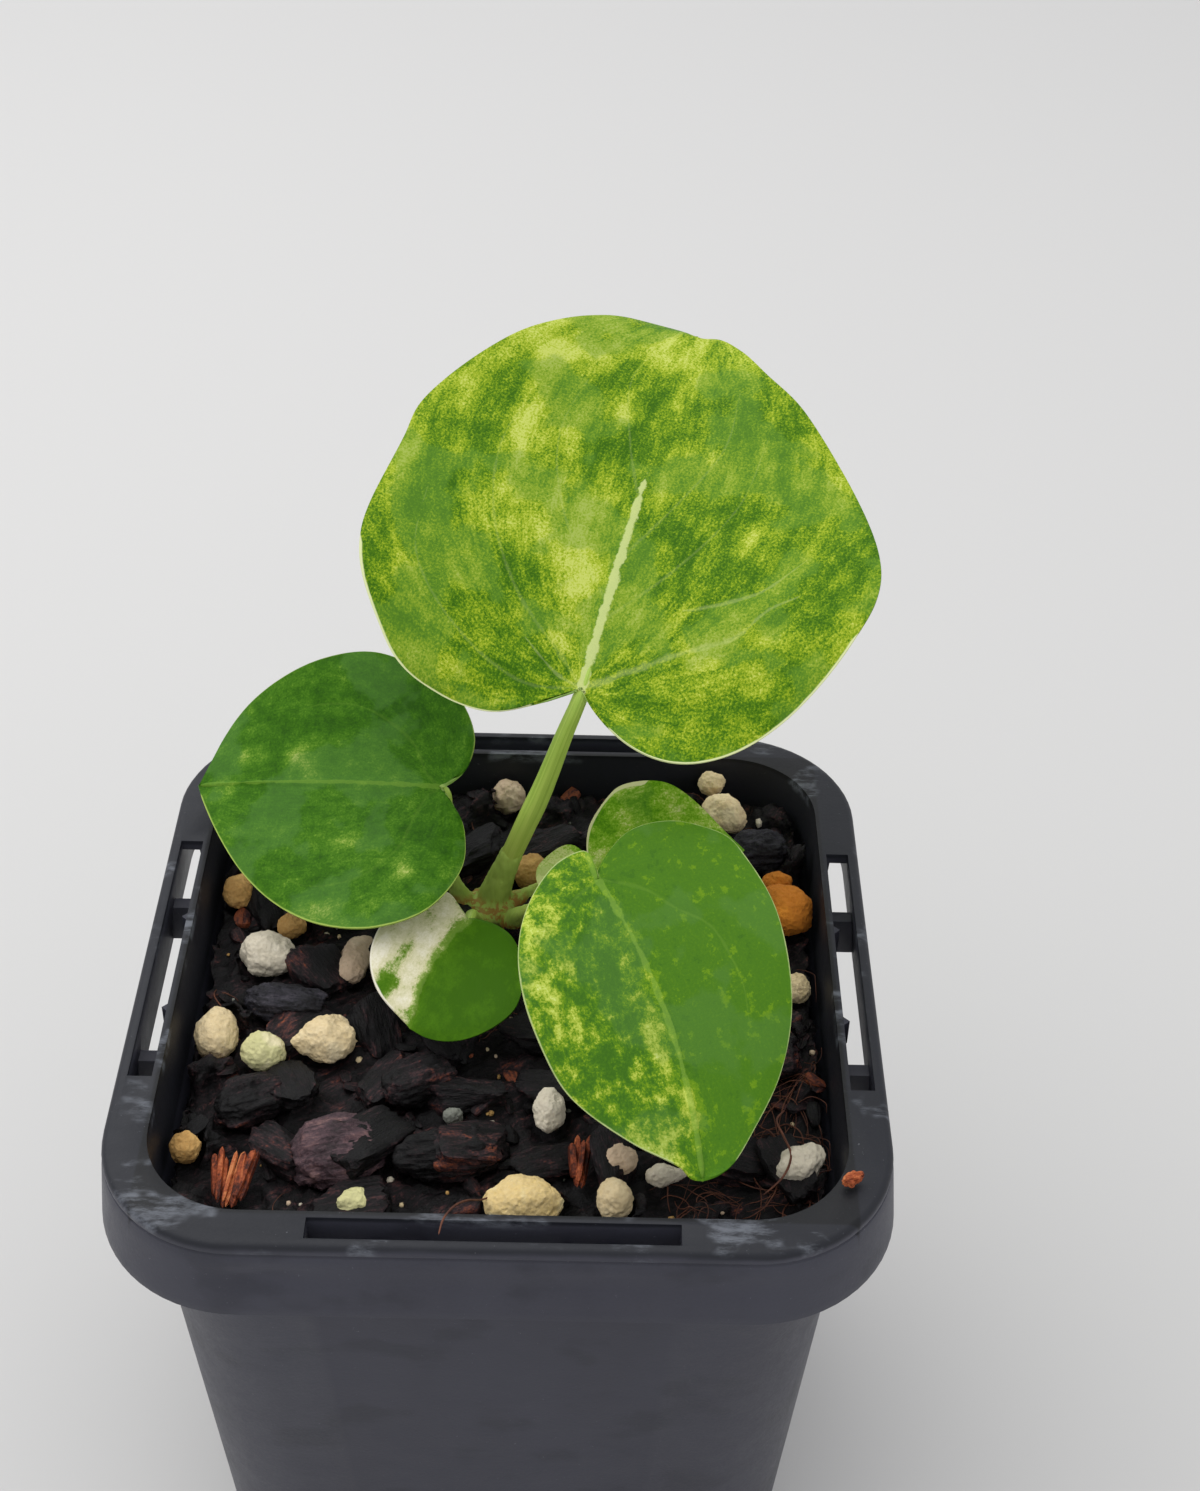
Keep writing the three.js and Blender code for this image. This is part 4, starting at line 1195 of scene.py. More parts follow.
@dataclass(frozen=True)
class BarkFinish:
    """Damp composted pine bark: split along its fibres, nearly black, some of it purplish or red-brown."""

    name: str
    tones: tuple[tuple[float, str], ...] = (
        (0.0, "030203"), (0.3, "0a0708"), (0.5, "1d1417"), (0.7, "41292a"), (0.85, "60352a"), (1.0, "8a4a30"))
    roughness: float = 0.58

    def material(self) -> Material:
        """Builds the bark. The vector "fibres" runs along each chip, and "tone" is the chip's own shade."""
        paint = Paint(self.name)
        place = paint.attribute("fibres", "Vector")
        # Single wood fibres are finer than 0.05 mm, so bundles of them are drawn.
        strands = paint.grain(place, 0.42, 5.0, 0.65, stretch=(0.16, 1.0, 1.0))
        cracks = paint.grain(place, 1.5, 4.0, 0.7, stretch=(0.3, 1.0, 0.6))
        crumbs = paint.grain(place, 0.3, 3.0, 0.7)
        damp_and_shade = paint.grain(place, 3.0, 3.0)
        tone = paint.weigh(paint.attribute("tone"), [
            (strands, 1.4), (cracks, 1.4), (crumbs, 1.0), (damp_and_shade, 1.3)])
        wood = paint.ramp(tone, self.tones)
        relief = paint.weigh(0.5, [(strands, 0.8), (cracks, 0.8), (crumbs, 0.3)])
        gloss = paint.weigh(self.roughness, [(damp_and_shade, 0.5), (crumbs, 0.2)])
        return paint.close(wood, gloss, 1.45, 0.3, relief, 0.3)


@dataclass(frozen=True)
class GritFinish:
    """Pumice, perlite or baked clay: a dull froth of tiny cells, stained where it lies in the damp mix."""

    name: str
    body: str
    shade: str
    stain: str
    stain_share: float = 0.5

    def material(self) -> Material:
        """Builds the stone, with its pits darkened by painted shade, its mottling and its stain."""
        paint = Paint(self.name)
        place = paint.object_mm()
        cells = paint.node("ShaderNodeTexVoronoi", {"feature": "F1"}, {
            "Vector": place, "Scale": 1 / 0.42, "Randomness": 1.0}).outputs["Distance"]
        froth = paint.grain(place, 0.34, 4.0, 0.7)
        blotch = paint.grain(place, 1.7, 4.0, 0.6)
        soft = paint.grain(place, 3.2, 2.0)
        tone = paint.weigh(0.32, [(froth, 0.9), (blotch, 0.7)])
        stone = paint.blend(tone, self.body, self.shade)
        stained = paint.product(paint.ramp_down(soft, 0.44, 0.3), self.stain_share)
        stone = paint.blend(stained, stone, self.stain)
        # Painted shade: the pits are painted darker with the shade colour.
        pits = paint.ramp_down(paint.weigh(cells, [(froth, 0.5)]), 0.12, 0.3)
        stone = paint.blend(pits, stone, self.shade, 0.45)
        relief = paint.weigh(0.5, [(cells, 0.8), (froth, 0.7)])
        return paint.close(stone, 0.9, 1.5, 0.25, relief, 0.12)


@dataclass(frozen=True)
class FibreFinish:
    """Coir: thin stiff husk fibres, tan to red-brown, dull with a slight shine along them."""

    name: str = "coir fibre"
    pale: str = "84513a"
    dark: str = "2c1613"

    def material(self) -> Material:
        """Builds the fibre, lighter and darker from place to place."""
        paint = Paint(self.name)
        place = paint.object_mm()
        tone = paint.weigh(0.55, [(paint.grain(place, 2.4, 3.0, 0.7), 1.8)])
        return paint.close(paint.blend(tone, self.pale, self.dark), 0.62, 1.45, 0.35)


def roughen(piece: Piece, depth: float, size: float, pits: float = 0.0, pit_size: float = 0.7) -> None:
    """Breaks up a piece's surface along its normals.

    Args:
        piece: The mesh.
        depth: How far its bumps reach, in millimetres.
        size: How wide they are.
        pits: How deep its round pits are.
        pit_size: How far apart the pits lie.
    """

    def rise(point: Points) -> float:
        height = depth * noise.fractal(Vector(point / size), 0.6, 2.0, 4)
        if pits:
            height -= pits * max(0.0, 1 - noise.voronoi(Vector(point / pit_size))[0][0] / 0.42)
        return height

    push_out(piece, rise)


def split_open(piece: Piece, turn: float, depth: float = 0.34) -> None:
    """Raises ribs along a bark chunk's fibres.

    Args:
        piece: The mesh.
        turn: The direction of its fibres from above, in radians.
        depth: How far the ribs reach, in millimetres.
    """
    c, s = math.cos(turn), math.sin(turn)

    def rise(point: Points) -> float:
        x, y, z = point
        place = Vector((0.16 * (x * c + y * s), y * c - x * s, 1.1 * z))
        return depth * noise.fractal(place, 0.6, 2.1, 4)

    push_out(piece, rise)


def along_fibres(piece: Piece, turn: float, tone: float) -> None:
    """Gives a piece the numbers that its bark finish reads.

    Args:
        piece: The mesh.
        turn: The direction of its fibres from above, in radians.
        tone: Its shade, from 0, black, to 1, red-brown.
    """
    points = vertices_of(piece)
    set_values(piece, "fibres", turned(points, -turn))
    set_values(piece, "tone", np.full(len(points), tone))


def copy_of(node: str, name: str) -> Piece:
    """Copies a frame node's mesh into a piece of its own, with its triangles joined up."""
    clear_selection()
    piece = bpy.data.objects.new(name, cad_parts[node].data.copy())
    piece.data.name = name
    bpy.context.scene.collection.objects.link(piece)
    piece.data.materials.clear()
    while piece.data.uv_layers:
        piece.data.uv_layers.remove(piece.data.uv_layers[0])
    take(piece)
    bpy.ops.mesh.customdata_custom_splitnormals_clear()
    merge_doubles(piece, 1e-3)
    return piece


@dataclass
class Lump:
    """One loose piece on the mix, refined from its node: a stone, a bark chunk or a crumb."""

    node: str
    finish: GritFinish | BarkFinish
    slot: Slot
    levels: int = 3
    depth: float = 0.2
    size: float = 1.6
    pits: float = 0.0
    fibre_turn: float = 0.0
    tone: float = 0.4
    swell: float = 1.08
    worn: int = 10
    knobs: tuple[tuple[float, float, float, float], ...] = ()
    knob_voxel: float = 0.3
    knob_worn: int = 4

    def build(self, material: Material) -> Piece:
        """Builds and dresses the piece in place of its node.

        Args:
            material: The finish's material, which pieces of one kind share.

        Returns:
            The piece.
        """
        piece = copy_of(self.node, self.node + "_rough")
        points = vertices_of(piece)
        middle = points.mean(axis=0)
        set_vertices(piece, middle + (points - middle) * self.swell)
        if self.knobs:
            piece = self.knobbed(piece, middle)
        split = self.pits == 0.0
        apply_modifier(piece, "SUBSURF", subdivision_type="SIMPLE" if split else "CATMULL_CLARK",
                       levels=self.levels, render_levels=self.levels)
        apply_modifier(piece, "SMOOTH", factor=0.5, iterations=self.worn)
        roughen(piece, self.depth, self.size, self.pits)
        if split:
            split_open(piece, self.fibre_turn)
            along_fibres(piece, self.fibre_turn, self.tone)
        smooth(piece)
        return dress(piece, [material], self.slot, [self.node])

    def knobbed(self, piece: Piece, middle: Points) -> Piece:
        """Grows smaller lobes out of the piece: copies of it that are shrunk, moved and fused with it.

        Args:
            piece: The plain piece.
            middle: Its middle.

        Returns:
            The fused piece.
        """
        lobes = [piece]
        for x, y, z, share in self.knobs:
            lobe = twin(piece)
            set_vertices(lobe, middle + (vertices_of(piece) - middle) * share + (x, y, z))
            lobes.append(lobe)
        fused = join(lobes, piece.name)
        apply_modifier(fused, "REMESH", mode="VOXEL", voxel_size=self.knob_voxel * MM)
        apply_modifier(fused, "SMOOTH", factor=0.5, iterations=self.knob_worn)
        self.levels = 1
        return fused


@dataclass
class Splinters:
    """A split-off bit of bark, torn into thin parallel splinters."""

    node: str
    middle: Triple
    length: float
    spread: float
    turn: float
    tones: tuple[float, ...]
    thickness: float = 0.34
    seed: int = 5

    def build(self, material: Material) -> Piece:
        """Builds and dresses the splinters in place of their node."""
        chance = random.Random(self.seed)
        ahead = np.array([math.cos(self.turn), math.sin(self.turn), 0.1])
        beside = np.array([-math.sin(self.turn), math.cos(self.turn), 0.0])
        bits = []
        for number, tone in enumerate(self.tones):
            offset = self.spread * (2 * number / max(1, len(self.tones) - 1) - 1)
            lift = POT_HEIGHT + chance.uniform(-0.2, 0.5)
            middle = np.array(self.middle) + beside * offset + (0, 0, lift)
            half = self.length * chance.uniform(0.34, 0.54)
            fan = ahead + beside * (0.1 * offset + chance.uniform(-0.07, 0.07))
            slip = chance.uniform(-0.4, 0.4)
            run = np.array([middle + fan * (half * t + slip) for t in np.linspace(-1, 1, 14)])
            run[:, 2] += [chance.uniform(-0.05, 0.05) for _ in run]
            blunt = np.sqrt(1 - np.linspace(-1, 1, 14) ** 6)
            radii = self.thickness * chance.uniform(0.7, 1.3) * blunt
            bit = tube("splinter", run, np.maximum(radii, 0.03), 5)
            along_fibres(bit, self.turn, tone)
            bits.append(bit)
        piece = join(bits, self.node + "_split")
        smooth(piece, 35)
        return dress(piece, [material], Slot.RED_BARK, [self.node])


@dataclass
class Mix:
    """The damp bark mix: its bed with the chips that the frame's heap is made of, crumbs and fibres."""

    chip_spacing: float = 7.8
    chip_reach: float = 27.3
    chip_sink: float = 5.5
    chip_stray: float = 3.2
    chip_seed: int = 4127
    shape_seed: int = 12
    voxel: float = 0.62
    loose_depth: float = 11.0
    roundness: float = 0.36
    boxiness: float = 0.6
    flats: int = 7
    flatness: float = 0.94
    small_chips: int = 210
    crumbs: int = 170
    fibres: int = 190
    seed: int = 29
    bark: BarkFinish = BarkFinish("damp composted bark")
    fibre: FibreFinish = FibreFinish()
    above: float = 3.0
    tuft: tuple[tuple[float, float], ...] = ((15.5, 29.5), (-29.0, -7.0))
    anywhere: tuple[tuple[float, float], ...] = ((-29.0, 29.0), (-29.0, 29.0))
    chance: random.Random = field(init=False)
    bodies: list[Piece] = field(init=False)

    def heap(self, y: float) -> float:
        """Gives how far the heap rises towards the rear wall."""
        return MIX_RISE * max(0.0, y - RISE_START) / (MOUTH_HALF - RISE_START)

    def bed(self, material: Material) -> Piece:
        """Builds the body of the mix from its node, remeshed and crumbled."""
        piece = copy_of("substrate", "mix_bed")
        apply_modifier(piece, "REMESH", mode="VOXEL", voxel_size=self.voxel * MM)
        top = POT_HEIGHT - self.loose_depth

        def rise(point: Points) -> float:
            return -0.8 + 0.7 * noise.fractal(Vector(point / 1.4), 0.5, 2.1, 3) if point[2] > top else 0.0

        push_out(piece, rise)
        along_fibres(piece, 0.6, 0.3)
        smooth(piece)
        return dress(piece, [material], Slot.BARK_MIX, ["substrate"])

    def chip_shapes(self, count: int, levels: int) -> list[Piece]:
        """Models a few chips to copy: balls cut flat on several sides, ribbed along their fibres.

        Args:
            count: How many to model.
            levels: How often the ball they start from is divided.

        Returns:
            The chips, each about two units across.
        """
        shapes = []
        chance = random.Random(self.shape_seed)
        for number in range(count):
            piece = add_piece(bpy.ops.mesh.primitive_ico_sphere_add, f"chip_shape_{levels}_{number}",
                              subdivisions=levels, radius=1.0)
            points = vertices_of(piece) * MM
            boxy = points / np.abs(points).max(axis=1)[:, None]
            points = self.roundness * points + self.boxiness * boxy
            for _ in range(self.flats):
                cut = np.array([chance.uniform(-0.7, 0.7), chance.uniform(-1, 1), chance.uniform(-0.8, 0.8)])
                cut /= np.linalg.norm(cut)
                beyond = np.maximum(0, points @ cut - chance.uniform(0.58, 0.85))
                points -= self.flatness * beyond[:, None] * cut
            if levels > 2:
                points += self.ribs(points, number)
            set_vertices(piece, points)
            shapes.append(piece)
        return shapes

    def ribs(self, points: Points, number: int) -> Points:
        """Gives how far a chip's points move where its fibres stand out, and where its ends have split."""
        outward = points / np.linalg.norm(points, axis=1)[:, None]
        rise = []
        for x, y, z in points:
            coarse = noise.fractal(Vector((0.5 * x + 7 * number, 3.4 * y, 3.4 * z)), 0.6, 2.1, 4)
            worn = noise.fractal(Vector((1.6 * x, 1.6 * y + 5 * number, 1.6 * z)), 0.5, 2.0, 3)
            rise.append((0.09 + 0.1 * max(0.0, abs(x) - 0.6)) * coarse + 0.08 * worn)
        return outward * np.array(rise)[:, None]

    def chip(self, shape: Piece, middle: Points, half: Points, turn: float, tilt: float,
             tone: float) -> Piece:
        """Copies one chip to its place.

        Args:
            shape: The chip to copy.
            middle: Its middle, in millimetres.
            half: Its half sizes.
            turn: Its turn about the vertical, in radians.
            tilt: Its tilt about its own second axis, in radians.
            tone: Its shade.

        Returns:
            The copy.
        """
        piece = twin(shape)
        points = vertices_of(shape) * half
        turned = Matrix.Rotation(turn, 3, "Z") @ Matrix.Rotation(tilt, 3, "Y")
        set_vertices(piece, points @ np.array(turned).T + middle)
        set_values(piece, "fibres", points + middle)
        set_values(piece, "tone", np.full(len(points), tone))
        return piece

    def heap_chips(self, shapes: list[Piece]) -> list[Piece]:
        """Lays the heap's own large chips where the frame has them, by the same row of random numbers."""
        state = self.chip_seed

        def draw() -> float:
            nonlocal state
            state = state * LEHMER_FACTOR % LEHMER_MODULUS
            return state / LEHMER_MODULUS

        chips = []
        cells = np.arange(-self.chip_reach, self.chip_reach + 1e-6, self.chip_spacing)
        for x, y in itertools.product(cells, cells):
            place = [x + self.chip_stray * (draw() - 0.5), y + self.chip_stray * (draw() - 0.5), 0.0]
            place[2] = POT_HEIGHT + self.heap(place[1]) - self.chip_sink + 1.4 * (draw() - 0.5)
            half = np.array([3.0 + 1.7 * draw(), 2.0 + draw(), 1.6 + 0.6 * draw()])
            turn, tilt = math.pi * draw(), 0.8 * (draw() - 0.5)
            draw()
            if max(abs(place[0]), abs(place[1])) <= MOUTH_HALF - 3.2 - 0.45 * half[0]:
                tone = 0.12 + 0.035 * (len(chips) * 7 % 11)
                shape = shapes[len(chips) % len(shapes)]
                chips.append(self.chip(shape, np.array(place), half, turn, tilt, tone))
        return chips

    def ground(self, x: float, y: float, bodies: list[Piece]) -> Vector | None:
        """Finds the top of the mix at a place.

        Args:
            x: The place, in millimetres.
            y: The place, in millimetres.
            bodies: The bed first, then the stones and chunks that lie on it.

        Returns:
            The point, or nothing where a stone or chunk covers the bed.
        """
        start = Vector((x, y, POT_HEIGHT + self.above)) * MM
        hits = []
        for number, body in enumerate(bodies):
            struck, point, _, _ = body.ray_cast(start, Vector((0, 0, -1)))
            if struck:
                hits.append((point.z, number, point / MM))
        return max(hits)[2] if hits and max(hits)[1] == 0 else None

    def pick(self, east: tuple[float, float], north: tuple[float, float]) -> Vector:
        """Picks a place on the mix, between two limits each way, that no stone covers."""
        spot = None
        while spot is None:
            spot = self.ground(self.chance.uniform(*east), self.chance.uniform(*north), self.bodies)
        return spot

    def scatter(self, reach: float, count: int) -> list[Vector]:
        """Picks several places on the mix, so far from its middle at most."""
        return [self.pick((-reach, reach), (-reach, reach)) for _ in range(count)]

    def small_chip_bits(self, shapes: list[Piece]) -> list[Piece]:
        """Strews small chips over the mix, redder towards its front right corner."""
        chance = self.chance
        bits = []
        for spot in self.scatter(MOUTH_HALF - 1.6, self.small_chips):
            size = chance.uniform(0.55, 1.5)
            half = np.array([size, size * chance.uniform(0.45, 0.75), size * chance.uniform(0.25, 0.5)])
            red = 0.45 if spot.x > 14 and spot.y < -6 else 0.12
            tone = chance.uniform(0.7, 1.0) if chance.random() < red else chance.uniform(0.05, 0.6)
            middle = np.array([*spot.xy, spot.z + 0.3 * half[2]])
            bits.append(self.chip(chance.choice(shapes), middle, half, chance.uniform(0, math.pi),
                                  chance.uniform(-0.5, 0.5), tone))
        return bits

    def chips(self, material: Material) -> Piece:
        """Builds all loose chips as one piece."""
        large = self.chip_shapes(5, 4)
        small = self.chip_shapes(6, 2)
        bits = self.heap_chips(large) + self.small_chip_bits(small)
        for shape in large + small:
            bpy.data.objects.remove(shape)
        piece = join(bits, "mix_chips")
        smooth(piece, 38)
        return dress(piece, [material], Slot.BARK_MIX, [])

    def grit(self, materials: list[Material]) -> Piece:
        """Strews fine mineral grit over the mix."""
        chance = self.chance
        shape = add_piece(bpy.ops.mesh.primitive_ico_sphere_add, "grain", subdivisions=1, radius=1.0)
        grains = []
        for number, spot in enumerate(self.scatter(MOUTH_HALF - 1.2, self.crumbs)):
            size = chance.uniform(0.12, 0.34) if number % 6 else chance.uniform(0.35, 0.55)
            piece = twin(shape)
            stretch = [chance.uniform(0.7, 1.2) for _ in range(3)]
            points = vertices_of(shape) * MM
            points = points * stretch * [[chance.uniform(0.8, 1.15)] for _ in points] * size
            set_vertices(piece, points + np.array([*spot.xy, spot.z + 0.3 * size]))
            piece.data.materials.append(materials[number % len(materials)])
            grains.append(piece)
        bpy.data.objects.remove(shape)
        piece = join(grains, "mix_grit")
        smooth(piece, 60)
        return dress(piece, [], Slot.PUMICE, [])

    def strand(self, start: Vector, length: float, radius: float) -> Piece:
        """Lays one coir fibre over the mix, bending as it goes.

        Args:
            start: Where it starts, on the mix.
            length: How long it is.
            radius: How thick it is at its middle.

        Returns:
            The fibre.
        """
        chance, edge, steps = self.chance, MOUTH_HALF - 0.8, 9
        heading = chance.uniform(0, 2 * math.pi)
        bend = chance.uniform(-0.3, 0.3)
        lift = chance.uniform(0.1, 0.9)
        x, y, z = start
        path = []
        for step in range(steps):
            path.append((x, y, z + 0.1 + lift * math.sin(math.pi * step / (steps - 1))))
            heading += bend + chance.uniform(-0.12, 0.12)
            x = max(-edge, min(edge, x + length / steps * math.cos(heading)))
            y = max(-edge, min(edge, y + length / steps * math.sin(heading)))
            spot = self.ground(x, y, self.bodies[:1])
            z = 0.5 * z + 0.5 * spot.z if spot is not None else z
        return self.thread(np.array(path), radius, 0.35, 3, 5)

    def thread(self, path: Points, radius: float, least: float, steps: int, sides: int) -> Piece:
        """Makes a fibre through points, thinner towards its ends.

        Args:
            path: The points.
            radius: Its radius at its middle.
            least: The share of the radius that is left at its ends.
            steps: How many steps each stretch gets.
            sides: How many faces go round it.

        Returns:
            The fibre.
        """
        run = smooth_path(path, steps)
        shares = np.linspace(0, 1, len(run))
        return tube("strand", run, radius * (least + (1 - least) * np.sin(math.pi * shares) ** 0.5), sides)

    def strands(self, material: Material) -> Piece:
        """Builds the coir: a loose tuft in the front right corner, single fibres elsewhere."""
        laid = []
        for number in range(self.fibres):
            start = self.pick(*(self.tuft if number % 4 else self.anywhere))
            laid.append(self.strand(start, self.chance.uniform(3.0, 9.0), self.chance.uniform(0.03, 0.075)))
        for course, radius in RIM_FIBRES:
            laid.append(self.thread(np.array(course) + (0, 0, POT_HEIGHT), radius, 0.4, 6, 6))
        piece = join(laid, "coir_fibres")
        smooth(piece)
        return dress(piece, [material], Slot.RED_BARK, [])

    def build(self, lumps: list[Piece], grits: list[Material]) -> None:
        """Builds the mix round the stones and chunks that lie on it.

        Args:
            lumps: The stones and chunks, already built.
            grits: The materials that fine grit may have.
        """
        self.chance = random.Random(self.seed)
        bark = self.bark.material()
        self.bodies = [self.bed(bark), *lumps]
        self.chips(bark)
        self.grit(grits)
        self.strands(self.fibre.material())


RIM_FIBRES = (
    (((-4.6, -33.6, 0.35), (-4.3, -32.0, 0.45), (-3.6, -30.6, 0.3), (-2.6, -28.6, -1.2), (-1.2, -26.6, -3.4),
      (0.0, -25.2, -4.2)), 0.11),
    (((26.0, -15.6, -3.2), (25.1, -17.2, -2.9), (25.6, -19.2, -2.8), (26.2, -21.0, -3.2), (25.4, -23.2, -3.6),
      (23.4, -25.2, -4.0)), 0.12),
)


@dataclass(frozen=True)
class CrownFinish:
    """The short stem: olive-green tissue under the brown, papery remains of old leaf sheaths."""

    name: str = "stem with old sheaths"
    green: str = "b4cb60"
    olive: str = "8fa848"
    rust: str = "a5622a"
    brown: str = "54402a"

    def material(self) -> Material:
        """Builds the stem, browner downwards."""
        paint = Paint(self.name)
        place = paint.object_mm()
        level = paint.axes(place)[2]
        lines = paint.grain(place, 0.7, 4.0, 0.65, stretch=(1.0, 1.0, 0.2))
        blotch = paint.grain(place, 1.8, 4.0, 0.6)
        flesh = paint.blend(paint.weigh(0.5, [(lines, 1.2), (blotch, 0.8)]), self.green, self.olive)
        ragged = paint.weigh(level, [(lines, 2.2), (blotch, 1.6)])
        rusty = paint.ramp_down(ragged, POT_HEIGHT - 3.4, POT_HEIGHT - 2.2)
        seams = paint.product(rusty, paint.ramp_down(lines, 0.54, 0.44))
        flesh = paint.blend(seams, flesh, self.rust, 0.8)
        low = paint.ramp_down(ragged, POT_HEIGHT - 5.0, POT_HEIGHT - 3.6)
        flesh = paint.blend(low, flesh, self.brown)
        relief = paint.weigh(0.5, [(lines, 0.9), (blotch, 0.5)])
        return paint.close(flesh, 0.6, 1.45, 0.35, relief, 0.12)


@dataclass
class Crown:
    """The short stem, wrapped in the widened feet of the leaf stalks."""

    finish: CrownFinish = CrownFinish()
    sheath_length: float = 8.5
    swelling: float = 1.75
    least_swelling: float = 1.02
    sheath_end: tuple[float, ...] = (0.98, 0.9, 0.75, 0.5)
    voxel: float = 0.2
    worn: int = 9

    def sheath(self, leaf: Leaf) -> Piece:
        """Builds the foot of one stalk, which widens to clasp the stem.

        Args:
            leaf: The leaf whose stalk it is.
        """
        path = smooth_path(np.array(leaf.stalk))
        length = np.linalg.norm(np.diff(path, axis=0), axis=1).sum()
        share = min(0.6, self.sheath_length / length)
        shares = np.linspace(0, 1, 30)
        path = along_path(path, shares * share) + (0, 0, POT_HEIGHT)
        thin = np.interp(shares * share / 2, np.linspace(0, 1, len(leaf.radii)), leaf.radii)
        radii = thin * (self.least_swelling + (self.swelling - self.least_swelling) * (1 - shares) ** 1.7)
        radii[-len(self.sheath_end):] *= self.sheath_end
        return tube("sheath", path, radii, 20)

    def build(self, leaves: tuple[Leaf, ...]) -> Piece:
        """Builds and dresses the stem in place of its node."""
        stem = copy_of("crown", "crown_grown")
        piece = join([stem] + [self.sheath(leaf) for leaf in leaves], "crown_grown")
        apply_modifier(piece, "REMESH", mode="VOXEL", voxel_size=self.voxel * MM)
        apply_modifier(piece, "SMOOTH", factor=0.5, iterations=self.worn)
        roughen(piece, 0.08, 0.9)
        smooth(piece)
        return dress(piece, [self.finish.material()], Slot.STEM, ["crown"])


MARBLED = BladeFinish(
    "marbled leaf", (
        (0.0, "35600a"), (0.2, "48720d"), (0.36, "608612"), (0.5, "7d9a17"), (0.66, "9aae26"),
        (0.82, "adbc40"), (1.0, "c0cb64")), vein="c6d188", hem="d9dfa6", cloud=1.0, mottle=1.3,
    band=1.5, streak=0.6, painted_sparkle=2.0, vein_show=0.22, painted_sheen=0.45, sheen_tone="5f8a2c")
DEEP_GREEN = BladeFinish(
    "deep green leaf", (
        (0.0, "28520a"), (0.3, "37660e"), (0.5, "467516"), (0.68, "5f8824"), (0.84, "84a03e"),
        (1.0, "a8b860")), vein="6f9433", hem="9db454", cloud=0.5, mottle=1.4, band=0.6, streak=0.4,
    painted_sparkle=1.0, midrib_show=0.5, vein_show=0.14, painted_sheen=0.4, sheen_tone="4f7a36", crispness=0.5, patch_size=1.9)
MOTTLED = BladeFinish(
    "mottled leaf", (
        (0.0, "3f7210"), (0.3, "508413"), (0.5, "669a1a"), (0.68, "80aa2c"), (0.84, "9db84c"),
        (1.0, "c4cd84")), vein="8fae4c", hem="d8d7a2", cloud=0.9, mottle=1.8, band=0.6, streak=0.3,
    painted_sparkle=1.2, midrib_show=0.4, vein_show=0.12, painted_sheen=0.2)
HALF_MOON = BladeFinish(
    "half-moon leaf", (
        (0.0, "3a6408"), (0.3, "48740d"), (0.48, "5d821f"), (0.58, "9aa964"), (0.68, "cfcb9e"),
        (0.84, "e0dab8"), (1.0, "efe9d3")), vein="9db35c", hem="efe9d4", cloud=0.6, mottle=1.3,
    band=0.3, streak=0.2, painted_sparkle=0.5, vein_show=0.1, midrib_show=0.2, painted_sheen=0.0, crispness=0.0)
SPLASHED = BladeFinish(
    "splashed leaf", (
        (0.0, "3c681a"), (0.25, "49761a"), (0.4, "618a18"), (0.52, "7d9c20"), (0.64, "a6b741"),
        (0.8, "b8c952"), (1.0, "cfdb80")), vein="86aa42", hem="bccb86", cloud=0.5, mottle=2.4,
    band=0.8, streak=0.3, painted_sparkle=1.0, midrib_show=0.42, vein_show=0.13, painted_sheen=0.3,
    crispness=0.85, patch_size=1.5)

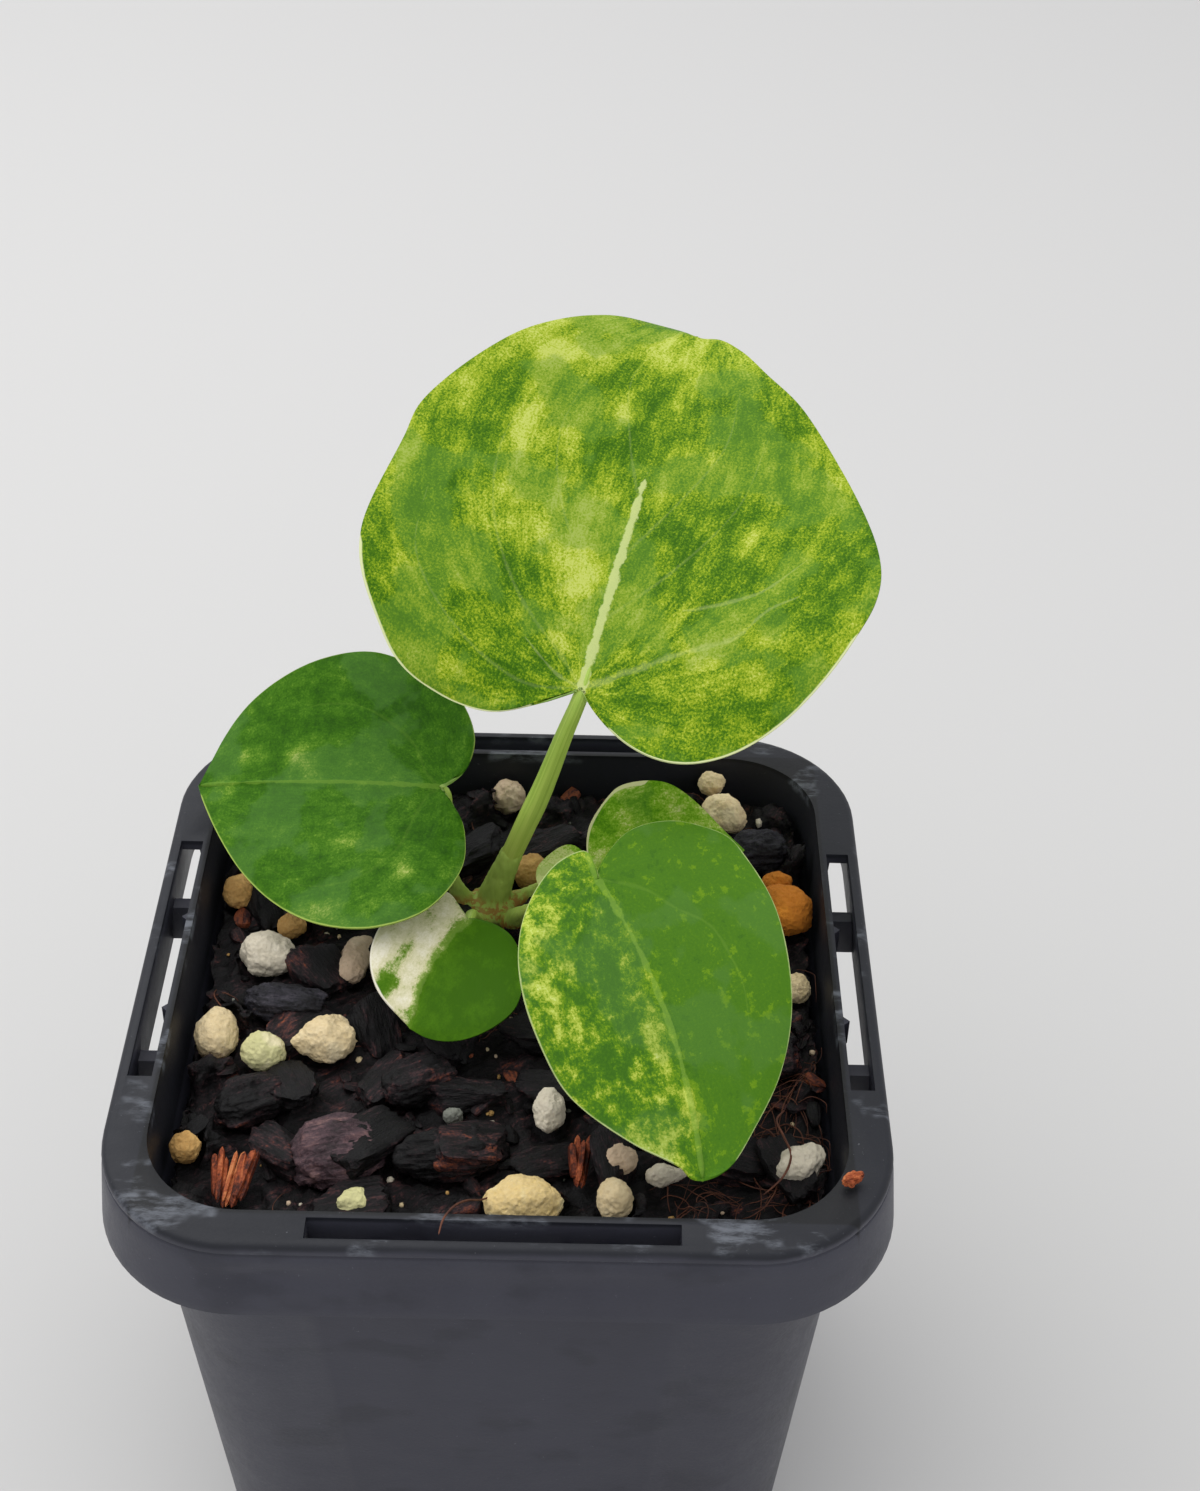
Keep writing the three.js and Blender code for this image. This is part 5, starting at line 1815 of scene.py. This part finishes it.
MAIN_LEAF = Leaf(
    "leaf_main", attach=(6.5, 10.4, 25), tip=(17.5, 50.3, 40), facing=(0, -0.26, 0.966), arch=0.0048,
    fold=0.16, softness=5, bow=0, wave=(0.9, 5, 0.6),
    right=((-2.3, 2.1), (-4.6, 5.5), (-5.5, 8.7), (-5.2, 11.6), (-3.4, 15.2), (-0.1, 18.7), (4.2, 21.6),
           (8.4, 23.5), (12.5, 24.6), (16.6, 24.2), (25.5, 20.0), (34.6, 13.1), (38.6, 8.6), (42.4, 4.9),
           (44.2, 2.3)),
    left=((-4.1, -7.3), (-3.6, -14.0), (-2.3, -17.2), (0.3, -19.7), (4.5, -22.6), (8.0, -23.8),
          (11.5, -24.1), (20.6, -23.6), (25.1, -23.2), (34.6, -17.9), (38.6, -15.1), (42.9, -11.1),
          (44.8, -7.8), (44.9, -1.4)),
    stalk=((-2.3, 12.3, -4.7), (-1.5, 12.5, -1.6), (0.8, 12.3, 5.3), (2.8, 11.5, 11.6), (5.0, 10.3, 19.8)),
    radii=(1.05, 1.15, 0.78, 0.5, 0.35), finish=MARBLED, midrib_reach=0.5,
    midrib_width=0.46, midrib_taper=0.2, columns=320, rows=44,
    patches=(
        Patch(0.4, 0.0, 2.0, 1.8, 0, 0.3), Patch(38.0, -3.0, 7.0, 14.0, 0, 0.16),
        Patch(5.0, 13.0, 5.0, 9.0, 0, 0.12),
        Patch(15.6, -5.2, 3.6, 2.9, 10, 0.62), Patch(9.1, -3.1, 2.6, 1.8, 20, 0.5),
        Patch(4.1, -3.2, 2.4, 1.4, 30, 0.32), Patch(23.5, -13.1, 8.0, 1.5, 2, 0.55),
        Patch(35.4, -13.8, 3.2, 2.6, 30, 0.42), Patch(37.4, -7.4, 2.4, 2.4, 0, 0.4),
        Patch(40.8, -2.7, 2.6, 3.2, 80, 0.34), Patch(30.3, -3.9, 1.6, 0.9, 0, 0.6),
        Patch(28.1, 10.6, 2.2, 1.1, -20, 0.42), Patch(33.7, 10.4, 2.2, 1.1, -30, 0.36),
        Patch(17.3, 11.6, 1.7, 1.3, 0, 0.36), Patch(5.4, 10.6, 2.4, 1.3, 60, 0.4),
        Patch(7.6, 15.6, 2.8, 1.2, 75, 0.4), Patch(-2.0, -12.0, 1.6, 1.2, 50, 0.4),
        Patch(19.1, -22.3, 2.4, 0.7, 0, 0.4), Patch(21.4, 2.3, 1.5, 0.9, 0, 0.3),
        Patch(34.9, -2.7, 2.6, 1.9, 0, -0.28), Patch(25.7, -4.3, 2.2, 1.8, 0, -0.26),
        Patch(31.5, 7.1, 4.2, 3.2, 0, -0.26), Patch(14.9, -20.3, 3.2, 2.4, 0, -0.2)),
    near_veins=(
        Vein(((0, 0), (4.9, 8.1), (7.2, 12.7), (10.5, 15.2), (12.2, 17.7)), 0.42),
        Vein(((9.4, 7.9), (12.2, 13.9), (16.5, 17.6)), 0.26),
        Vein(((0, 0), (0.6, -2.4), (3.4, -6.6)), 0.3)),
    far_veins=(
        Vein(((0, 0), (2.6, -2.8), (7.5, -8.4), (15.0, -12.9), (24.0, -14.4), (33.0, -11.4)), 0.3),
        Vein(((0, 0), (-0.9, -5.2), (1.8, -12.2), (8.0, -18.4), (17.0, -19.8)), 0.26),
        Vein(((7.0, 0.2), (13.5, 5.4), (21.5, 9.6), (30.5, 10.5)), 0.22),
        Vein(((14.5, 0.5), (21.0, 3.8), (28.5, 6.6), (36.0, 6.4)), 0.2),
        Vein(((9.0, -0.2), (16.5, -6.2), (25.5, -9.4), (35.0, -8.4)), 0.22),
        Vein(((20.0, 0.2), (27.0, -2.6), (35.0, -4.6), (40.5, -3.4)), 0.18)),
    hems=(Hem(0.02, 0.22, 0.2), Hem(0.8, 0.98, 0.25)))

LEFT_LEAF = Leaf(
    "leaf_left", attach=(-7.2, 13.4, 10), tip=(-32.3, 19.9, 4), facing=(-0.05, -0.45, 0.89), arch=0.006,
    fold=0.14, softness=3, bow=0, wave=(0.5, 4, 0.3),
    right=((-0.4, 0.6), (-2.1, 1.7), (-2.9, 4.9), (-1.3, 8.6), (1.1, 10.9), (3.8, 12.4), (8.6, 13.8),
           (14.0, 12.9), (20.2, 10.2), (23.0, 8.0), (24.8, 5.3)),
    left=((-2.4, -2.8), (-3.2, -4.6), (-3.6, -8.6), (-1.4, -13.4), (2.8, -15.7), (8.1, -15.7),
          (13.7, -13.6), (19.0, -9.7), (25.6, -1.7)),
    stalk=((-4.5, 12.0, -4.7), (-5.9, 12.6, -2.3), (-7.1, 13.9, 3.0)), radii=(0.75, 0.7, 0.6, 0.45, 0.35),
    finish=DEEP_GREEN, midrib_width=0.24, midrib_reach=0.96,
    patches=(
        Patch(15.2, 2.4, 1.6, 1.0, 30, 0.5), Patch(21.1, 2.9, 1.4, 0.8, 0, 0.5),
        Patch(8.2, -6.8, 1.6, 1.0, -20, 0.5), Patch(1.6, -9.2, 1.4, 0.9, 60, 0.4),
        Patch(9.9, -14.6, 2.2, 1.0, 0, 0.6), Patch(22.7, -0.6, 1.4, 0.9, 0, 0.4),
        Patch(6.0, 8.0, 4.5, 3.0, 0, -0.16)),
    near_veins=(
        Vein(((0, 0), (1.5, 1.2), (3.1, 4.1), (5.7, 6.3), (9.3, 8.0), (13.9, 8.1), (16.9, 7.1)), 0.3),
        Vein(((0, 0), (1.1, -1.1), (2.0, -3.9), (2.7, -6.9), (6.0, -10.5), (11.0, -11.5),
              (16.0, -9.5)), 0.3)),
    hems=(Hem(0.03, 0.45, 0.02), Hem(0.5, 0.97, 0.12)))

FRONT_LEAF = Leaf(
    "leaf_front", attach=(8.3, -3.8, 14), tip=(17.8, -28.2, 1.5), facing=(0, -0.4, 0.92), arch=0.006,
    fold=0.16, softness=3, bow=-1.6, wave=(0.5, 4, 1.2),
    right=((-1.3, -0.7), (-3.5, -3.6), (-3.9, -5.8), (-3.4, -8.4), (-2.1, -10.5), (0.0, -12.5),
           (2.7, -13.3), (8.6, -13.9), (17.1, -12.3), (22.3, -9.5), (26.2, -5.7), (28.5, -2.9),
           (29.0, -1.4)),
    left=((-2.3, -0.2), (-3.2, 0.2), (-3.3, 1.2), (-2.7, 3.2), (-0.7, 5.7), (2.3, 7.9), (5.5, 9.3),
          (8.9, 10.0), (12.3, 10.1), (17.7, 9.3), (20.2, 8.1), (24.6, 4.6), (27.5, 1.5), (28.6, 0.9)),
    stalk=((-0.4, 10.0, -4.7), (1.0, 7.6, -1.4), (4.2, 1.9, 6.0)), radii=(0.75, 0.72, 0.65, 0.5, 0.35),
    finish=SPLASHED, split=0.09, livelier=1.0, columns=260, rows=36,
    midrib_reach=0.96,
    patches=(
        Patch(12.0, 3.4, 8.0, 1.6, 0, -0.26), Patch(6.0, 1.8, 4.0, 2.0, 0, -0.22),
        Patch(12.0, 6.5, 16.0, 5.0, 0, -0.18),
        Patch(3.2, 5.6, 2.0, 1.0, 60, 0.4), Patch(7.8, 5.8, 1.6, 0.9, 20, 0.42),
        Patch(3.2, 7.5, 1.2, 0.7, 0, 0.4), Patch(10.6, 7.7, 1.7, 0.8, 0, 0.44),
        Patch(13.2, 4.2, 1.6, 0.7, 0, 0.36), Patch(14.1, 7.7, 1.2, 0.8, 0, 0.36),
        Patch(14.1, 5.9, 1.3, 0.7, 0, 0.34), Patch(17.1, 0.2, 1.5, 0.6, 0, 0.36),
        Patch(19.0, 4.9, 1.3, 0.8, 0, 0.3), Patch(19.2, 2.5, 1.5, 0.7, 0, 0.36),
        Patch(22.5, -1.0, 1.6, 1.0, 0, 0.36), Patch(25.4, 3.1, 2.0, 1.0, -30, 0.5),
        Patch(6.1, 8.4, 1.3, 0.7, 0, 0.34), Patch(8.5, 8.7, 1.1, 0.6, 0, 0.3),
        Patch(0.9, 6.3, 1.2, 0.8, 60, 0.3)), midrib_width=0.3,
    near_veins=(
        Vein(((0, 0), (2.4, -3.7), (4.9, -5.5), (7.8, -8.0), (11.0, -8.7), (14.0, -8.9), (17.3, -8.3)), 0.24),
        Vein(((0, 0), (1.6, 3.0), (5.0, 6.6), (10.0, 7.4), (15.0, 6.6)), 0.2)),
    hems=(Hem(0.02, 0.48, 0.03), Hem(0.52, 0.98, 0.07)))

REAR_LEAF = Leaf(
    "leaf_rear", attach=(7.8, 11.6, 2), tip=(23.1, 13.6, 2.5), facing=(0, -0.36, 0.93), arch=0.006,
    fold=0.16, softness=2, bow=0, wave=(0.3, 4, 0.2),
    right=((-0.3, -1.2), (0.2, -3.8), (2.3, -6.8), (4.0, -8.0), (8.1, -7.7), (11.3, -5.3)),
    left=((-0.9, -1.7), (-1.8, -2.4), (-3.0, -2.3), (-5.2, -0.7), (-5.6, 0.9), (-5.0, 2.6), (-3.5, 4.1),
          (-0.8, 5.1), (2.6, 5.2), (6.2, 4.6), (10.4, 3.2), (13.0, 2.0)),
    stalk=((-0.2, 12.8, -4.7), (1.9, 12.6, -2.9), (5.0, 12.3, -0.3)), radii=(0.7, 0.65, 0.55, 0.42, 0.32),
    finish=MOTTLED, columns=150, rows=22,
    patches=(Patch(1.0, 3.4, 2.4, 1.0, 20, 0.4), Patch(-4.2, 1.2, 2.6, 2.6, 0, 0.9),
             Patch(4.0, 0.0, 20.0, 20.0, 0, 0.4)),
    hems=(Hem(0.0, 0.26, 0.55),))

SMALL_LEAF = Leaf(
    "leaf_small", attach=(-4.1, 3.0, 2), tip=(-8.9, -8.5, -1), facing=(-0.02, -0.45, 0.89), arch=0.01,
    fold=0.1, softness=2, bow=1.1, wave=(0.25, 3, 0.2),
    right=((-1.3, 1.5), (-2.0, 3.0), (-1.4, 4.7), (0.3, 6.3), (2.7, 7.1), (7.3, 6.8), (10.7, 4.5)),
    left=((-0.5, -0.4), (-0.8, -2.7), (-0.3, -4.4), (1.2, -6.0), (3.0, -7.3), (5.0, -8.0), (7.3, -8.3),
          (8.9, -7.8), (10.6, -6.6), (11.9, -5.1), (12.7, -3.4), (13.0, -1.6)),
    stalk=((-3.1, 9.5, -4.7), (-3.6, 7.6, -1.9), (-3.9, 5.4, 0.5)), radii=(0.65, 0.6, 0.55, 0.42, 0.32),
    finish=HALF_MOON, split=0.4, columns=150, rows=22,
    patches=(Patch(7.5, 3.8, 2.4, 0.6, 0, -0.3), Patch(10.2, 4.2, 2.2, 1.4, 20, -0.45),
             Patch(4.0, 0.4, 20.0, 20.0, 0, 0.1)),
    hems=(Hem(0.04, 0.46, 0.15),))

CREAM = GritFinish("cream pumice", "f9e9c2", "dfc58f", "b8965c", 0.3)
WHITE = GritFinish("white perlite", "f6efdc", "d9cfb6", "b09d7c", 0.3)
YELLOW = GritFinish("yellow pumice", "f6ecc0", "e6cc7e", "cf9f48", 0.45)
TAN = GritFinish("tan pumice", "ecc37c", "c08a45", "8b6030", 0.4)
GREENISH = GritFinish("algae-stained pumice", "f2e6c0", "d8d19c", "b3b768", 0.5)
PINKISH = GritFinish("weathered pumice", "f6e2c6", "d6b996", "a07e60", 0.4)
GREY = GritFinish("grey grit", "9c9f94", "6e7168", "4b4a42", 0.4)
CLAY = GritFinish("baked clay", "ee9a38", "c8741f", "8f4c16", 0.4)
DARK_BARK = BarkFinish("pine bark chunk")
PURPLE_BARK = BarkFinish("weathered purplish bark", (
    (0.0, "231a1c"), (0.35, "3f3034"), (0.6, "533f44"), (0.8, "674e50"), (1.0, "7c5f5c")))
SLATE_BARK = BarkFinish("weathered grey bark", (
    (0.0, "0e0d10"), (0.35, "222126"), (0.6, "35333a"), (0.8, "48444b"), (1.0, "6a5a58")))
RED_BARK = BarkFinish("split red bark", (
    (0.0, "240c08"), (0.3, "54210f"), (0.5, "8a4022"), (0.75, "b05a32"), (1.0, "cf8250")))

PUMICE = (
    CREAM, GREENISH, CREAM, WHITE, TAN, TAN, PINKISH, TAN,
    GREENISH, YELLOW, CREAM, PINKISH, WHITE, WHITE, WHITE, CREAM,
    CREAM, CREAM, PINKISH, TAN, GREY, CREAM, WHITE, CREAM)
STONES = {f"pumice_{number:02}": finish for number, finish in enumerate(PUMICE, 1)} | {
    "clay_ball_01": CLAY, "clay_ball_02": CLAY}
BARK = (
    (PURPLE_BARK, 0.3, 0.5), (SLATE_BARK, -0.1, 0.4), (DARK_BARK, 0.5, 0.3), (DARK_BARK, 0.1, 0.25),
    (DARK_BARK, 0.5, 0.35), (SLATE_BARK, 0.2, 0.3), (DARK_BARK, 0.2, 0.55), (DARK_BARK, 0.7, 0.3),
    (DARK_BARK, -0.2, 0.3), (SLATE_BARK, 0.4, 0.3))
CHUNKS = {f"bark_{number:02}": row for number, row in enumerate(BARK, 1)}
PROUD = {"bark_01": 1.26}
SLIVERS = {"bark_crumb": (RED_BARK, 0.4, 0.65)}
TORN = (
    Splinters("bark_sliver_01", (-23.8, -23.7, -4.9), 5.6, 1.5, 1.5,
              (0.2, 0.42, 0.5, 0.95, 0.9, 0.5, 0.35, 0.3), 0.36, 5),
    Splinters("bark_sliver_02", (7.2, -20.9, -4.9), 5.4, 0.55, 1.55, (0.3, 0.5, 0.42, 0.3), 0.36, 8))
KNOBS = {
    "pumice_03": ((0.7, 1.5, 0.1, 0.55), (-2.2, -0.5, -0.2, 0.5), (0.4, -0.6, 0.0, 0.8)),
    "pumice_04": ((1.7, -0.9, 0.0, 0.62), (-0.7, 0.8, 0.0, 0.72)),
    "pumice_07": ((0.8, 1.2, 0.0, 0.75), (-0.6, -1.2, 0.0, 0.65)),
    "pumice_10": ((-1.9, 0.3, -0.1, 0.55), (1.9, -0.5, -0.2, 0.5), (-0.4, 1.1, 0.3, 0.6)),
    "pumice_13": ((1.1, 0.2, 0.0, 0.7),), "pumice_15": ((1.2, 1.0, 0.0, 0.66), (-0.9, -0.7, 0.0, 0.7)),
    "pumice_17": ((-0.6, 0.9, 0.1, 0.7),), "pumice_19": ((0.9, 0.4, 0.0, 0.6),),
    "clay_ball_01": ((-1.0, 1.1, 0.2, 0.72),)}
GRITTY = {TAN: 0.02, CREAM: 0.03, CLAY: 0.02, GREENISH: 0.03}


@dataclass
class Litter:
    """Everything loose on the mix that has a node of its own: stones, chunks, splinters and a crumb."""

    made: dict[str, Material] = field(default_factory=dict)

    def material(self, finish: GritFinish | BarkFinish) -> Material:
        """Builds a finish's material once and shares it."""
        if finish.name not in self.made:
            self.made[finish.name] = finish.material()
        return self.made[finish.name]

    def build(self) -> list[Piece]:
        """Builds all of them and returns the pieces."""
        pieces = []
        for node, finish in STONES.items():
            pits = GRITTY.get(finish, 0.045)
            slot = Slot.CLAY if finish is CLAY else Slot.PUMICE
            lump = Lump(node, finish, slot, depth=0.2, size=1.5, pits=pits, worn=75, swell=1.12,
                        knobs=KNOBS.get(node, ()))
            pieces.append(lump.build(self.material(finish)))
        for node, (finish, turn, tone) in (CHUNKS | SLIVERS).items():
            slot = Slot.RED_BARK if node in SLIVERS else Slot.BARK
            lump = Lump(node, finish, slot, depth=0.16, size=1.1, fibre_turn=turn, tone=tone, worn=4,
                        swell=PROUD.get(node, 1.08))
            pieces.append(lump.build(self.material(finish)))
        pieces += [torn.build(self.material(RED_BARK)) for torn in TORN]
        return pieces


@dataclass
class Studio:
    """A plain pale floor under a large soft lamp and a bright, even sky."""

    floor_width: float = 2.4
    sky: float = 0.86
    lamp_power: float = 2.6
    lamp_width: float = 0.8
    lamp_place: Triple = (-0.22, 0.16, 0.6)
    floor_tone: str = "cfcecc"
    sky_tone: str = "f6f7fa"

    def build(self) -> None:
        """Sets up the floor, the sky and the lamps."""
        floor = add_piece(bpy.ops.mesh.primitive_plane_add, "floor", size=self.floor_width)
        floor.data.materials.append(Paint("pale studio floor").close(linear(self.floor_tone), 0.8, 1.5, 0.5))
        floor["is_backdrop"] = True
        world = bpy.data.worlds.new("sky")
        world.use_nodes = True
        world.node_tree.nodes.clear()
        light = add_node(world.node_tree, "ShaderNodeBackground", inputs={
            "Color": linear(self.sky_tone), "Strength": self.sky})
        add_node(world.node_tree, "ShaderNodeOutputWorld", inputs={"Surface": light.outputs[0]})
        bpy.context.scene.world = world
        bpy.context.scene.view_settings.view_transform = "Standard"
        self.lamp(self.lamp_place, self.lamp_power, self.lamp_width)

    def lamp(self, place: Triple, power: float, width: float) -> None:
        """Adds a square soft lamp that shines at the middle of the pot's rim."""
        lamp = add_piece(bpy.ops.object.light_add, "lamp", type="AREA", location=place)
        lamp.data.energy = power
        lamp.data.size = width
        aim = Vector((0, 0, POT_HEIGHT * MM)) - Vector(place)
        lamp.rotation_euler = aim.to_track_quat("-Z", "Y").to_euler()


@dataclass
class Camera:
    """The photograph's viewpoint: steeply from above the pot's front, turned a little about its axis."""

    place: Triple = (0.00678, -0.153138, 0.221162)
    pitch: float = 0.6826
    yaw: float = 0.0094
    roll: float = 0.0274
    lens: float = 53.73
    sensor: float = 36.0

    def build(self) -> None:
        """Adds the camera and makes it the scene's own."""
        cp, sp = math.cos(self.pitch), math.sin(self.pitch)
        cy, sy = math.cos(self.yaw), math.sin(self.yaw)
        ahead = Vector((sy * cp, cy * cp, -sp))
        level = Vector((cy, -sy, 0.0))
        upright = level.cross(ahead)
        right = level * math.cos(self.roll) + upright * math.sin(self.roll)
        up = upright * math.cos(self.roll) - level * math.sin(self.roll)
        camera = add_piece(bpy.ops.object.camera_add, "camera")
        turned = Matrix((right, up, -ahead)).transposed().to_4x4()
        turned.translation = Vector(self.place)
        camera.matrix_world = turned
        camera.data.lens = self.lens
        camera.data.sensor_width = self.sensor
        bpy.context.scene.camera = camera


def corners() -> list[list[float]]:
    """Gives the shown object's lowest and highest corner as plain lists."""
    return [list(map(float, corner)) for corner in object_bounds()]


def main() -> None:
    """Builds the whole scene in order."""
    logging.basicConfig(level=logging.INFO, format="%(name)s: %(message)s")
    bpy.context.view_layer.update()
    Pot().build()
    litter = Litter()
    lumps = litter.build()
    Mix().build(lumps, [litter.material(finish) for finish in (CREAM, WHITE, PINKISH, GREY, TAN)])
    leaves = (MAIN_LEAF, LEFT_LEAF, FRONT_LEAF, REAR_LEAF, SMALL_LEAF)
    Crown().build(leaves)
    for leaf in leaves:
        leaf.build()
    Studio().build()
    Camera().build()


if __name__ == "__main__":
    main()
